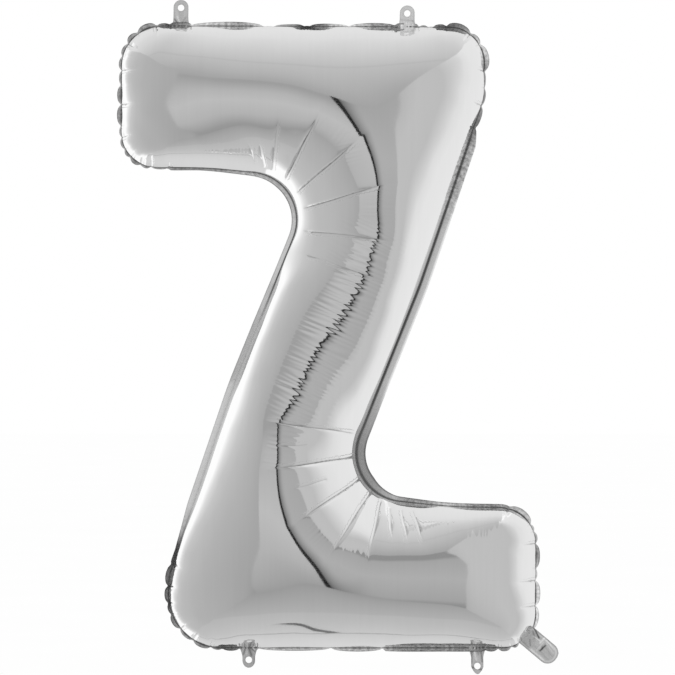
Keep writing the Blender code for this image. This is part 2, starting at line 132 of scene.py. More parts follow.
# Where the film is pinched at the seam, clockwise, in pixels: the point, how far the pinch runs into the
# film, and how far the lobe of seal band after it stands out. A reach of 0 means no lobe follows.
PINCHES = (
    (156.4, 26.8, 9, 3.2), (171, 26, 3, 0), (191, 26.5, 6, 5.0), (263, 27, 2, 1.2), (274, 27, 2, 3.0),
    (304, 27.5, 2, 1.2), (310, 27.5, 2, 3.4), (349, 28, 2, 4.2), (396, 27, 6, 0), (418.8, 28.0, 6, 2.6),
    (428, 27.8, 3, 1.2), (433.5, 27.8, 3, 3.2), (446.3, 28.6, 4, 5.6), (467.3, 38.2, 6, 4.6),
    (476.3, 46.6, 4, 6.0), (483, 71.0, 7, 2.4), (485.5, 88, 3, 3.0), (480, 105.4, 8, 4.6), (472, 128, 3, 0),
    (507.3, 511.2, 4, 6.0), (528, 526, 3, 3.0), (531, 532.5, 3, 3.4), (532.6, 544, 12, 5.2),
    (536.3, 568.4, 3, 2.6), (533.7, 580.8, 16, 5.6), (532.6, 606, 14, 4.4), (529, 628, 4, 0),
    (518, 641.5, 4, 3.6), (510.6, 644.2, 3, 4.6), (498, 646.3, 5, 4.2), (484, 647, 4, 0),
    (383, 648, 2, 4.6), (331, 647.5, 2, 3.8), (257, 647.5, 5, 0), (240, 647.8, 6, 3.4),
    (222.5, 647.2, 3, 2.8), (211, 644.8, 8, 4.4), (193, 640.2, 4, 3.8), (182, 627.2, 8, 4.6),
    (173, 613.6, 4, 3.2), (169.8, 602.6, 6, 4.6), (170.4, 585.8, 7, 4.8), (172.6, 563.8, 7, 0),
    (169, 166.4, 5, 2.6), (151, 163.5, 8, 3.2), (142, 160.6, 5, 4.4), (133, 154.4, 6, 3.8),
    (127.4, 148, 3, 3.4), (125.4, 136.5, 10, 3.0), (122.4, 125.5, 3, 5.2), (123.2, 104.5, 12, 5.0),
    (121.8, 85, 3, 3.2), (124.5, 70.3, 14, 3.6), (125.2, 57, 3, 4.0), (131.2, 45.6, 8, 5.4),
    (138.8, 34.8, 3, 6.0),
)
PINCH_DEPTH = 2.0 * MM

# The fine gathers that run in from the seam.
GATHER_HEIGHT = 0.34 * MM
GATHER_PITCH = 4.9 * MM
GATHER_REACH = 11 * MM
GATHERS_NEAR = 45 * MM  # from the seam and from a pinch

# The kinds of seal band: the reach in pixels where it has no lobes, the foil's tone at the seam, in the
# middle and at the free edge from 0 to 255, painted with the band's light and shade (darker at the seam and
# in the pinched lobes, lighter where the edge leans back), how crumpled it is and how far its edge leans
# back, in millimetres, and how blotchy its foil is.
BAND_KINDS = {
    "pinched": (5.0, 70, 128, 80, 0.4, 0.3, 0.4),
    "ruffled": (5.2, 105, 172, 112, 0.5, 0.3, 0.45),
    "shaded": (4.2, 85, 125, 105, 0.3, 0.0, 0.35),
    "bright": (5.0, 85, 192, 150, 0.5, 1.8, 0.35),
    "crumpled": (9.6, 85, 172, 190, 0.7, 1.5, 0.5),
    "leaning": (10.1, 75, 182, 232, 0.08, 4.5, 0.03),
    "bent": (10.9, 92, 152, 96, 0.08, 0.5, 0.04),
    "taut": (7.4, 176, 184, 165, 0.08, 1.0, 0.04),
    "lined": (6.8, 70, 182, 150, 0.08, 0.8, 0.04),
    "hemmed": (6.6, 95, 176, 105, 0.2, 0.5, 0.15),
    "open": (0.6, 150, 170, 180, 0.0, 0.0, 0.1),
}
# Where along the seam the band is of each kind, clockwise, in pixels.
BAND_PLACES = {
    "pinched": (
        (131, 45), (158, 27), (425, 28), (455, 33), (534, 550), (515, 644), (232, 647), (171, 600),
        (150, 163), (122, 95),
    ),
    "ruffled": (
        (200, 26), (250, 26), (330, 28), (385, 28), (440, 506), (490, 509), (465, 647), (270, 646),
        (245, 170),
    ),
    "shaded": ((290, 27), (482, 88), (473, 126), (178, 550), (200, 167)),
    "bright": ((480, 56), (518, 515), (534, 590), (533, 622)),
    "crumpled": ((467, 143), (452, 185)),
    "leaning": ((438, 228), (380, 378)),
    "bent": ((356, 445), (366, 484)),
    "taut": ((194, 506), (260, 326)),
    "lined": ((281, 274), (295, 236)),
    "hemmed": ((395, 504), (296, 210), (280, 183)),
    "open": ((529, 630), (520, 640)),
}
BAND_WIDTH = 10 * MM
BAND_RINGS = 6
BAND_PITCH = 6 * MM
BAND_CRUMPLE = 2.2
BAND_METAL = 0.5
BAND_LIGHT = 0.72  # the light that the facing band throws back, as a share of white

# The light tent round the balloon, open towards the camera. Its four sheets hang unevenly. The outline of
# each, its front edge first, is (y, z) for the side sheets and (x, y) for the top and the floor.
TENT_LEFT, TENT_RIGHT = -1.1, 1.15
TENT_FLOOR, TENT_TOP = -1.75, 1.05
TENT_BACK = 5.0
LEFT_SHEET = (
    (-2.1, -2.4), (-2.0, -1.75), (-1.84, -1.5), (-1.63, -0.8), (-1.43, -0.15), (-1.33, 0.1), (-1.24, 0.36),
    (-1.19, 0.65), (-1.18, TENT_TOP), (TENT_BACK, TENT_TOP), (TENT_BACK, -2.4),
)
RIGHT_SHEET = (
    (-1.4, -2.4), (-1.4, -1.6), (-1.35, -0.8), (-1.3, -0.45), (-1.22, -0.05), (-1.25, 0.2), (-1.42, 0.5),
    (-1.65, 0.9), (-1.95, 1.35), (-2.1, 1.9), (TENT_BACK, 1.9), (TENT_BACK, -2.4),
)
TOP_SHEET = (
    (-1.7, -1.6), (-1.2, -1.56), (-1.0, -1.48), (-0.6, -1.36), (-0.35, -1.46), (0.05, -1.46), (0.4, -1.5),
    (0.84, -1.42), (0.83, -0.93), (0.75, -0.32), (0.65, 0.31), (0.6, TENT_BACK), (-1.7, TENT_BACK),
)
FLOOR_SHEET = (
    (-1.7, -1.95), (-1.24, -1.9), (-0.85, -1.8), (-0.4, -1.95), (0.0, -1.98), (0.4, -2.05), (0.6, -1.8),
    (1.25, -1.35), (1.22, -1.3), (0.92, -0.57), (0.85, TENT_BACK), (-0.95, TENT_BACK), (-0.97, -0.45),
    (-1.1, -1.2),
)
# A dark cable on the tent's floor.
CABLE = ((-0.2, -0.06), (-0.16, -0.08), (0.02, 0.42), (-0.02, 0.45))
CABLE_TONES = ((-0.1, 90), (0.5, 110))
# The tones of the four sheets along y, on the screen's scale of 0 to 255, and the range that they cover.
TONES_FROM, TONES_TO = -2.2, 4.0
LEFT_TONES = (
    (-2.1, 150), (-1.6, 167), (-1.0, 175), (-0.5, 182), (-0.1, 191), (0.2, 203), (0.45, 225), (0.75, 260),
)
RIGHT_TONES = (
    (-1.9, 178), (-1.5, 186), (-1.1, 195), (-0.8, 194), (-0.6, 193), (-0.45, 203), (-0.3, 214),
    (-0.15, 227), (0.1, 234), (1.2, 237), (3.0, 230),
)
TOP_TONES = (
    (-1.75, 150), (-1.45, 168), (-1.2, 173), (-0.8, 185), (-0.53, 193), (-0.5, 186), (-0.47, 195),
    (-0.2, 207), (0.0, 216), (0.3, 227), (0.6, 230), (1.5, 233), (4.0, 244),
)
FLOOR_TONES = (
    (-2.0, 155), (-1.5, 165), (-1.1, 172), (-0.64, 180), (-0.6, 186), (-0.2, 192), (0.2, 199), (0.44, 204),
    (0.48, 150), (0.52, 205), (1.0, 212), (3.0, 222),
)
SHEET_SLANT = 0.3  # how much further forward the right sheet's tones lie for each metre up
# The tones of the room beyond the tent's opening, by height, left and right of its dark upright.
ROOM_LEFT_TONES = (
    (-8.0, 150), (-5.7, 157), (-4.2, 169), (-2.5, 183), (0.0, 193), (1.5, 184), (2.5, 171), (3.2, 162),
)
ROOM_RIGHT_TONES = ((-7.0, 142), (-5.7, 150), (-4.8, 166), (-2.0, 173), (0.0, 178), (3.7, 168), (4.3, 146))
ROOM_AWAY = 6.5
ROOM_HALF = 16.0
# How wide the dark upright and the shade on its right are, and how dark.
UPRIGHT, UPRIGHT_DARK = 0.4, 0.96
UPRIGHT_SHADE, SHADE_DARK = 1.8, 0.9
FLOOR_HEIGHT = -0.6
FLOOR_HALF = 20.0


def place(pixel):
    """The point of the seal plane, as (x, z), that a pixel of the photograph shows."""
    return np.array([(pixel[0] - MIDDLE_PIXEL[0]) * PIXEL, (MIDDLE_PIXEL[1] - pixel[1]) * PIXEL])


def evenly_spaced(line, count):
    """A closed line again, with that many points at even steps along it."""
    closed = np.vstack([line, line[:1]])
    along = np.concatenate([[0], np.cumsum(norm(np.diff(closed, axis=0), axis=1))])
    at = np.arange(count) * along[-1] / count
    return np.stack([np.interp(at, along, closed[:, k]) for k in range(line.shape[1])], axis=1)


def perimeter(line):
    """The length of a closed line."""
    return norm(np.roll(line, -1, axis=0) - line, axis=1).sum()


def rounded_outline(corners, step):
    """Points along a closed outline in millimetres, its corners rounded, as metres about a step apart."""
    points = []
    count = len(corners)
    for i in range(count):
        corner = Vector(corners[i][:2])
        back = (Vector(corners[i - 1][:2]) - corner).normalized()
        ahead = (Vector(corners[(i + 1) % count][:2]) - corner).normalized()
        half_angle = back.angle(ahead) / 2
        radius = corners[i][2]
        centre = corner + (back + ahead).normalized() * radius / math.sin(half_angle)
        spoke = corner + back * radius / math.tan(half_angle) - centre
        side = 1 if back.cross(ahead) > 0 else -1
        turn = math.pi - 2 * half_angle
        steps = max(2, round(turn * radius))
        for k in range(steps + 1):
            angle = side * -turn * k / steps
            cos, sin = math.cos(angle), math.sin(angle)
            x = centre.x + spoke.x * cos - spoke.y * sin
            points.append((x, centre.y + spoke.x * sin + spoke.y * cos))
    line = np.array(points) * MM
    return evenly_spaced(line, round(perimeter(line) / step))


def outward(line):
    """The outward normal at each point of a closed line that runs clockwise."""
    run = np.roll(line, -1, axis=0) - np.roll(line, 1, axis=0)
    run /= norm(run, axis=1)[:, None]
    return np.stack([-run[:, 1], run[:, 0]], axis=1)


def outward_at(line, share):
    """The outward normal of a closed line of even points, at shares of the way round it."""
    return outward(line)[np.round(share * len(line)).astype(int) % len(line)]


def along_line(points, line):
    """How far along a closed line each point lies, and how far from it."""
    edges = np.roll(line, -1, axis=0) - line
    lengths = norm(edges, axis=1)
    starts = np.concatenate([[0], np.cumsum(lengths)[:-1]])
    best = np.full(len(points), np.inf)
    along = np.zeros(len(points))
    for start, edge, length, first in zip(line, edges, lengths, starts):
        share = np.clip((points - start) @ edge / length**2, 0, 1)
        away = norm(points - start - share[:, None] * edge, axis=1)
        nearer = away < best
        best[nearer] = away[nearer]
        along[nearer] = first + share[nearer] * length
    return along, best


def nearest_points(line, seam):
    """The number of the seam's point that lies nearest to each point of a line."""
    return np.argmin(((line[:, None] - seam[None]) ** 2).sum(axis=2), axis=1)


def inside(points, line):
    """Which points lie inside a closed line."""
    within = np.zeros(len(points), bool)
    for (x0, z0), (x1, z1) in zip(line, np.roll(line, -1, axis=0)):
        crosses = (z0 > points[:, 1]) != (z1 > points[:, 1])
        if z0 != z1:
            within ^= crosses & (points[:, 0] < (x1 - x0) * (points[:, 1] - z0) / (z1 - z0) + x0)
    return within


def arc(centre, radius, first, last, steps):
    """The points of an arc, between two angles in degrees."""
    angles = np.radians(np.linspace(first, last, steps + 1))
    return np.stack([centre[0] + radius * np.cos(angles), centre[1] + radius * np.sin(angles)], axis=1)


def filled(outline, step=PIECE_STEP, clear=PIECE_STEP / 2, rows=(), holes=()):
    """Triangles over a flat outline with holes, through given points and an even grid clear of its edges."""
    low, high = outline.min(axis=0), outline.max(axis=0)
    height = step * math.sqrt(3) / 2
    levels = range(int((high[1] - low[1]) / height) + 2)
    columns = range(int((high[0] - low[0]) / step) + 2)
    grid = [(low[0] + (c + 0.5 * (r % 2)) * step, low[1] + r * height) for r in levels for c in columns]
    grid = np.array(grid)
    grid = grid[inside(grid, outline)]
    points, edges = [], []
    for loop in (outline, *holes):
        grid = grid[along_line(grid, loop)[1] > clear]
        first = len(points)
        points += [Vector(p) for p in loop]
        edges += [(first + i, first + (i + 1) % len(loop)) for i in range(len(loop))]
    for hole in holes:
        grid = grid[~inside(grid, hole)]
    points += [Vector(p) for p in (*rows, *grid)]
    made = delaunay_2d_cdt(points, edges, [], 1, 1e-7)
    at, faces = np.array([tuple(p) for p in made[0]]), np.array([tuple(face) for face in made[2]])
    for hole in holes:
        faces = faces[~inside(at[faces].mean(axis=1), hole)]
    return at, faces


class Film:
    """A sheet of film: its points in the flat cut and in space, its triangles, and its rim in order."""

    def __init__(self, flat, at, faces, rim):
        self.flat, self.at, self.faces, self.rim = flat, at, faces, rim

    def plan(self):
        return self.at[:, [0, 2]]

    def rim_line(self):
        return self.plan()[self.rim]

    def edges(self):
        """Each edge once, the edge of every side of the triangles, and how many triangles have each."""
        sides = np.vstack([self.faces[:, [0, 1]], self.faces[:, [1, 2]], self.faces[:, [2, 0]]])
        sides.sort(axis=1)
        edges, side_edge, uses = np.unique(sides, axis=0, return_inverse=True, return_counts=True)
        return edges, side_edge.ravel(), uses

    def spread(self, values):
        """The sum over each point's triangles of a value per triangle."""
        corners, count = self.faces.T, len(self.at)
        return np.stack([sum(np.bincount(c, column, count) for c in corners) for column in values.T], axis=1)

    def flat_areas(self):
        """The area of each triangle in the flat cut."""
        a, b, c = (self.flat[corner] for corner in self.faces.T)
        return np.abs(np.cross(b - a, c - a)) / 2

    def push(self):
        """The outward area of each triangle, as a vector."""
        a, b, c = (self.at[corner] for corner in self.faces.T)
        return np.cross(c - a, b - a) / 2

    def normals(self):
        normals = self.spread(self.push())
        return normals / norm(normals, axis=1)[:, None]


def flat_film(cut):
    """The film in its flat cut: rows that follow the rim, and an even grid inside them."""
    rim = evenly_spaced(cut, round(len(cut) * MM / COARSE_STEP))
    height = COARSE_STEP * math.sqrt(3) / 2
    across = outward(rim)
    rows = []
    for row in range(1, RIM_ROWS + 1):
        line = rim - across * height * row
        if row % 2:
            line = (line + np.roll(line, -1, axis=0)) / 2
        for point in line[along_line(line, rim)[1] > 0.93 * height * row]:
            if not rows or norm(np.array(rows) - point, axis=1).min() > 0.72 * COARSE_STEP:
                rows.append(point)
    flat, faces = filled(rim, COARSE_STEP, (RIM_ROWS + 0.65) * height, rows)
    rise = 0.1 * np.sqrt(along_line(flat, rim)[1])
    return Film(flat, np.stack([flat[:, 0], rise, flat[:, 1]], axis=1), faces, np.arange(len(rim)))


def divided(film, split=None):
    """The film with all or some edges split in the middle, where a point goes on the smooth surface."""
    edges, side_edge, uses = film.edges()
    chosen = split(film, edges, uses) if split else np.ones(len(edges), bool)
    count = len(film.at)
    new_point = np.full(len(edges), -1)
    new_point[chosen] = count + np.arange(chosen.sum())
    a, b = edges[chosen].T
    normals = film.normals()
    reach = film.at[b] - film.at[a]
    lift = (reach * normals[a]).sum(axis=1)[:, None] * normals[a]
    lift -= (reach * normals[b]).sum(axis=1)[:, None] * normals[b]
    middle = (film.at[a] + film.at[b] - lift / 4) / 2
    flat_middle = (film.flat[a] + film.flat[b]) / 2

    # the rim stays on the seal plane, and is drawn through its neighbours
    rim = film.rim
    pairs = np.sort(np.stack([rim, np.roll(rim, -1)], axis=1), axis=1)
    rim_edge = np.searchsorted(edges @ (count, 1), pairs @ (count, 1))
    rim_new = new_point[rim_edge]
    for values, middles in ((film.at, middle), (film.flat, flat_middle)):
        line = values[rim]
        drawn = 9 * (line + np.roll(line, -1, axis=0)) - np.roll(line, 1, axis=0) - np.roll(line, -2, axis=0)
        middles[rim_new[rim_new >= 0] - count] = drawn[rim_new >= 0] / 16
    new_rim = np.stack([rim, rim_new], axis=1).ravel()

    halves = new_point[side_edge].reshape(3, -1).T
    faces = []
    for turn, split_sides in ((0, 0), (0, 1), (0, 2), (1, 1), (1, 2), (2, 1), (2, 2), (0, 3)):
        order = np.roll(range(3), -turn)
        corners = np.hstack([film.faces[:, order], halves[:, order]])
        fits = ((halves[:, order] >= 0) == (np.arange(3) < split_sides)).all(axis=1)
        faces += [corners[fits][:, cut] for cut in CUTS[split_sides]]
    flat, at = np.vstack([film.flat, flat_middle]), np.vstack([film.at, middle])
    return Film(flat, at, np.vstack(faces), new_rim[new_rim >= 0])


def thread_batches(film):
    """The film's edges with their flat lengths, in batches that share no point."""
    edges = film.edges()[0]
    used = [0] * len(film.at)
    batch_of = []
    for a, b in edges.tolist():
        taken = used[a] | used[b]
        batch = 0
        while taken >> batch & 1:
            batch += 1
        used[a] |= 1 << batch
        used[b] |= 1 << batch
        batch_of.append(batch)
    ends = [edges[np.array(batch_of) == batch].T for batch in range(max(batch_of) + 1)]
    return [(a, b, norm(film.flat[a] - film.flat[b], axis=1)) for a, b in ends]


def settle(film, steps, pressure, damping, stiffness, seam=None):
    """Blows the film up for some steps.

    The film keeps its flat size when pulled and takes very little pressing, so it gathers evenly. The rim
    stays on the seal plane, and near the seam where one is given. Now and then each point is drawn towards
    its neighbours by the film's stiffness.
    """
    batches = thread_batches(film)
    ends = film.edges()[0].T
    weight = film.spread(film.flat_areas()[:, None] / 3)
    speed = np.zeros_like(film.at)
    rim = film.rim
    for step in range(steps):
        speed = speed * damping + film.spread(film.push()) / 3 / weight * pressure
        moved = film.at + speed
        for start, end, length in batches:
            pull = moved[end] - moved[start]
            now = np.sqrt((pull * pull).sum(axis=1))
            error = (now - length) / now
            pull *= (np.where(error > 0, error, error * PRESSED_BACK) / 2)[:, None]
            moved[start] += pull
            moved[end] -= pull
        if step % 5 == 0:
            bend = stiffness * towards_neighbours(moved, ends)
            bend[rim] = 0
            moved += bend
        moved[rim, 1] = 0
        if seam is not None:
            line = moved[rim][:, [0, 2]]
            if step % 10 == 0:
                nearest = nearest_points(line, seam)
                across = outward(seam)[nearest]
            off = ((line - seam[nearest]) * across).sum(axis=1)
            over = 0.3 * (off - np.clip(off, -SEAM_SLACK, SEAM_SLACK))
            moved[rim, 0] -= over * across[:, 0]
            moved[rim, 2] -= over * across[:, 1]
        np.maximum(moved[:, 1], 0, out=moved[:, 1])
        speed = moved - film.at
        film.at = moved


def turn_to_seam(film, seam):
    """Turns and shifts the film in the seal plane until its rim lies on the seam."""
    line = now = film.rim_line()
    for _ in range(12):
        nearest = seam[nearest_points(now, seam)]
        cross = (line - line.mean(axis=0)).T @ (nearest - nearest.mean(axis=0))
        angle = math.atan2(cross[0, 1] - cross[1, 0], cross[0, 0] + cross[1, 1])
        turn = np.array([[math.cos(angle), math.sin(angle)], [-math.sin(angle), math.cos(angle)]])
        shift = nearest.mean(axis=0) - line.mean(axis=0) @ turn
        now = line @ turn + shift
    film.at[:, [0, 2]] = film.plan() @ turn + shift


def towards_neighbours(at, ends):
    """From each point to the middle of its neighbours, which lie at the other ends of its edges."""
    a, b = ends
    count = len(at)
    neighbours = np.bincount(a, minlength=count) + np.bincount(b, minlength=count)
    total = [np.bincount(a, at[b, k], count) + np.bincount(b, at[a, k], count) for k in range(3)]
    return np.stack(total, axis=1) / neighbours[:, None] - at


def calm(film, rounds):
    """Evens the film out, without letting it shrink."""
    ends = film.edges()[0].T
    for step in range(2 * rounds):
        change = towards_neighbours(film.at, ends)
        change[film.rim] = 0
        film.at = film.at + (0.5 if step % 2 == 0 else -0.52) * change


def fill_dents(film, rounds):
    """Draws each point that lies in a dent out to its neighbours."""
    ends = film.edges()[0].T
    for _ in range(rounds):
        normals = film.normals()
        depth = (towards_neighbours(film.at, ends) * normals).sum(axis=1)
        depth[film.rim] = 0
        film.at = film.at + 0.6 * np.maximum(depth, 0)[:, None] * normals


def lay_rim(film, seam):
    """Lays the film's rim on the seam, with more even steps between its points."""
    nearest = nearest_points(film.rim_line(), seam)
    count = len(seam)
    along = nearest[0] + (nearest - nearest[0]) % count
    for _ in range(60):
        before = np.concatenate([[along[-1] - count], along[:-1]])
        after = np.concatenate([along[1:], [along[0] + count]])
        along = (before + 2 * along + after) / 4
    closed = np.vstack([seam, seam, seam[:1]])
    for axis, column in zip((0, 2), closed.T):
        film.at[film.rim, axis] = np.interp(along, np.arange(len(closed)), column)


def fill_out(film):
    """Lifts the film along the inner sides of the two arms."""
    away = along_line(film.plan(), film.rim_line())[1]
    for pixel, height, wide, tall in FULL_PLACES:
        off = (film.plan() - place(pixel)) / (wide * PIXEL, tall * PIXEL)
        rise = height * MM * np.exp(-(off**2).sum(axis=1))
        film.at[:, 1] += rise * np.clip(away / FULL_EDGE, 0, 1)


def blown_up_film():
    """The film of one side of the letter, as it stands behind the seal plane, before its creases."""
    film = flat_film(rounded_outline(FLAT_CORNERS, 1 * MM))
    seam = rounded_outline(SEAM_CORNERS, 3 * MM)
    settle(film, *BLOWN_FREE)
    turn_to_seam(film, seam)
    settle(film, *BLOWN_TO_SEAM, seam)
    lay_rim(film, seam + SEAM_OUT * outward(seam))
    fill_dents(film, DENT_ROUNDS)
    calm(film, CALM_ROUNDS)
    film = divided(film)
    fill_dents(film, DENT_ROUNDS)
    fill_out(film)
    calm(film, CALM_ROUNDS)
    return film


def noise_at(x, y, seed):
    """Smooth noise from -1 to 1 at each of many points."""
    return np.array([noise.noise((a, b, seed)) for a, b in zip(x.tolist(), y.tolist())])


def line_shares(points, start, end):
    """How far along a line each point lies, as a share, and how far to the side, in metres."""
    run = end - start
    length = norm(run)
    off = points - start
    return off @ run / length**2, (off[:, 0] * -run[1] + off[:, 1] * run[0]) / length


def seam_places(line, pixels):
    """How far along a closed line the pixels lie."""
    return along_line(np.array([place(pixel[:2]) for pixel in pixels]), line)[0]


def round_trip(difference, length):
    """The shorter way round a closed line."""
    return (difference + length / 2) % length - length / 2


def eased(value):
    """A value from 0 to 1 that starts and ends gently."""
    value = np.clip(value, 0, 1)
    return value * value * (3 - 2 * value)


def beside(share, side, beyond, reach):
    """Which points lie beside a line, or a share of its length beyond its ends."""
    return (share > -beyond) & (share < 1 + beyond) & (np.abs(side) < reach)


def take_fold(marks, side, sharpness, here):
    """Takes a fold into the marks where it is nearer than the one that they hold."""
    closer = here & (np.abs(side) < np.abs(marks["crease_side"]))
    marks["crease_side"][closer] = side[closer]
    marks["crease_sharpness"][closer] = sharpness[closer]


class Wear:
    """The creases, pinches and wrinkles of the film, over its plan and along its seam.

    The marks that some of its methods write hold, for each point, the way to the nearest fold and how sharp
    that is there. The film's material paints shade into the bottom of the folds from them.
    """

    def __init__(self, seam):
        self.seam, self.length = seam, perimeter(seam)
        self.pinches = seam_places(seam, PINCHES)

    def folds(self, along):
        """For each pinch, the way along the seam from it, and how far it runs in, in pixels."""
        for at, (_, _, inward, _) in zip(self.pinches, PINCHES):
            yield round_trip(along - at, self.length), inward

    def wanted_step(self, plan):
        """How fine the mesh is at each point of the plan."""
        along, away = along_line(plan, self.seam)
        step = np.where(away < 15 * MM, SEAM_STEP, PLAIN_STEP)
        for off, inward in self.folds(along):
            step[(np.abs(off) < 4 * MM) & (away < inward * PIXEL + 3 * MM)] = WRINKLE_STEP
        for start, end, _ in CREASES:
            share, side = line_shares(plan, place(start), place(end))
            near = beside(share, side, 0.1, 16 * MM)
            step[near] = np.minimum(step[near], SEAM_STEP)
            step[beside(share, side, 0.03, 4 * MM)] = WRINKLE_STEP
        for start, end, reach, _, _ in WRINKLES:
            share, side = line_shares(plan, place(start), place(end))
            step[beside(share, side, 0.06, 1.05 * reach * PIXEL)] = WRINKLE_STEP
        return step

    def creases(self, plan, seed, marks):
        """The height of the film at its creases, which the marks take in."""
        height = np.zeros(len(plan))
        for number, (start, end, part) in enumerate(CREASES):
            share, side = line_shares(plan, place(start), place(end))
            side += 1.1 * MM * np.sin(2.6 * share + number) + 0.4 * MM * np.sin(9 * share + 2.3 * number)
            size = part * (1 + 0.35 * noise.noise((number * 3.7, seed, 0.5)))
            fade = eased((share + 0.03) / 0.10) * eased((1.04 - share) / 0.55)
            wide = np.clip((share + 0.25) / 0.5, 0, 1) * np.clip((1.2 - share) / 0.7, 0, 1)
            away = np.abs(side)
            height -= size * fade * CREASE_DEPTH * np.exp(-away / CREASE_REACH)
            height -= size * wide * PILLOW_DEPTH * np.exp(-away / PILLOW_REACH)
            take_fold(marks, side, size * np.clip(fade * 1.6, 0, 1), (share > -0.05) & (share < 1.06))
        return height

    def wrinkles(self, plan, seed):
        """The height of the film in its fine wrinkles, which sway and swell in pixels of the photograph."""
        height = np.zeros(len(plan))
        for start, end, reach, pitch, size in WRINKLES:
            share, side = line_shares(plan, place(start), place(end))
            near = beside(share, side, 0.15, 2 * reach * PIXEL)
            s, t = share[near] * norm(place(end) - place(start)) / PIXEL, side[near] / PIXEL
            sway = 7 * noise_at(s / 13, t / 60, seed)
            swell = 0.2 + 2.3 * np.abs(noise_at(s / 8, t / 34, seed + 5))
            wave = np.sin(math.tau * s / pitch + sway) * swell + 0.8 * noise_at(s / 2.2, t / 26, seed + 9)
            ends = np.clip((share[near] + 0.1) / 0.16, 0, 1) * np.clip((1.1 - share[near]) / 0.16, 0, 1)
            height[near] += size * WRINKLE_HEIGHT * wave * ends * np.exp(-np.abs(t / reach) ** 4)
        return height

    def seam_gathers(self, along, away, seed):
        """Short fine gathers that run in from the seam, and the pinches between the lobes."""
        result = np.zeros(len(away))
        near = away < GATHERS_NEAR
        s, d = along[near], away[near]
        strength = np.zeros(len(s))
        for off, _ in self.folds(s):
            strength = np.maximum(strength, np.exp(-((off / GATHERS_NEAR) ** 2)))
        wave = np.sin(math.tau * s / GATHER_PITCH + 3 * noise_at(s / (30 * MM), d / (30 * MM), seed))
        wave *= 0.6 + 0.9 * noise_at(s / (14 * MM), d / (40 * MM), seed + 3)
        height = GATHER_HEIGHT * strength * wave * np.exp(-d / GATHER_REACH) * np.clip(d / (2 * MM), 0, 1)
        for off, inward in self.folds(s):
            off, length = np.abs(off), inward * PIXEL
            sharp = 0.45 * np.exp(-off / (1.5 * MM)) * np.exp(-((d / length) ** 2))
            wide = np.exp(-off / (9 * MM)) * np.exp(-((d / (0.9 * length + 4 * MM)) ** 2))
            height -= PINCH_DEPTH * (0.35 + inward / 14) * (sharp + 0.5 * wide) * np.clip(d / (3 * MM), 0, 1)
        result[near] = height
        return result

    def pinch_folds(self, along, away, marks):
        """Takes the folds of the pinches into the marks."""
        for side, inward in self.folds(along):
            share = away / (inward * PIXEL)
            take_fold(marks, side, 0.8 * np.clip(1.1 - share, 0, 1) * min(inward / 8, 1), share < 1.1)

    def seam_pull(self, along, away):
        """How far the seam and the film beside it are drawn in at the pinches."""
        pull = np.zeros(len(away))
        near = away < 30 * MM
        for off, inward in self.folds(along[near]):
            size = (0.5 + inward / 16) * 1.1 * MM
            pull[near] += size * np.exp(-np.abs(off) / (3 * MM)) * np.exp(-away[near] / (8 * MM))
        return pull


def detailed(film, wear):
    """The film with a finer mesh where it is creased, pinched or wrinkled."""
    finest = WRINKLE_STEP

    def too_long(film, edges, uses):
        ends = film.at[edges]
        wanted = np.maximum(wear.wanted_step(ends.mean(axis=1)[:, [0, 2]]), finest)
        wanted[uses == 1] = SEAM_STEP
        return norm(ends[:, 0] - ends[:, 1], axis=1) > 1.45 * wanted

    for _ in range(3):
        film = divided(film, too_long)
    return film


def worn(film, wear, seed):
    """The film with its creases, pinches and wrinkles pressed in, and the marks that its material reads."""
    plan = film.plan()
    along, away = along_line(plan, wear.seam)
    away[film.rim] = 0
    marks = {"crease_side": np.full(len(plan), CREASE_EDGE), "crease_sharpness": np.zeros(len(plan))}
    height = wear.creases(plan, seed, marks)
    wear.pinch_folds(along, away, marks)
    height += wear.wrinkles(plan, seed) + wear.seam_gathers(along, away, seed)
    height *= np.clip(away / (4 * MM), 0, 1)
    at = film.at + film.normals() * height[:, None]
    at[:, [0, 2]] -= outward_at(wear.seam, along / wear.length) * wear.seam_pull(along, away)[:, None]
    np.maximum(at[:, 1], 0, out=at[:, 1])
    return Film(film.flat, at, film.faces, film.rim), marks


def new_object(name, data):
    obj = bpy.data.objects.new(name, data)
    bpy.context.scene.collection.objects.link(obj)
    return obj


def mesh_object(name, points, faces, material):
    mesh = bpy.data.meshes.new(name)
    mesh.from_pydata(np.array(points).tolist(), [], np.array(faces).tolist())
    mesh.materials.append(material)
    mesh.shade_smooth()
    return new_object(name, mesh)


def film_object(name, side, film, marks, material):
    """One side's film. side is -1 in front of the seal plane and 1 behind it."""
    faces = film.faces if side < 0 else film.faces[:, ::-1]
    obj = mesh_object(name, film.at * (1, side, 1), faces, material)
    layer = obj.data.uv_layers.new(name="flat_cut")
    layer.data.foreach_set("uv", film.flat[faces.ravel()].astype(np.float32).ravel())
    paint_points(obj.data, marks)
    return obj


def wire(tree, value, socket):
    """Gives a socket a value, or links it where the value is another socket."""
    if isinstance(value, bpy.types.NodeSocket):
        tree.links.new(value, socket)
    else:
        socket.default_value = value


def node(tree, kind, inputs=(), **settings):
    """A new node with its settings, and with values or links for its inputs by name or number."""
    made = tree.nodes.new(kind)
    for name, value in settings.items():
        setattr(made, name, value)
    for key, value in dict(inputs).items():
        wire(tree, value, made.inputs[key])
    return made


def node_group(name, kind, inputs, outputs):
    """A node tree with named inputs, as kind and value, and outputs. Returns it and its end sockets."""
    tree = bpy.data.node_groups.new(name, kind)
    for label, (socket_kind, value) in inputs.items():
        socket = tree.interface.new_socket(label, in_out="INPUT", socket_type="NodeSocket" + socket_kind)
        if value is not None:
            socket.default_value = value
    for label, socket_kind in outputs.items():
        tree.interface.new_socket(label, in_out="OUTPUT", socket_type="NodeSocket" + socket_kind)
    return tree, node(tree, "NodeGroupInput").outputs, node(tree, "NodeGroupOutput").inputs


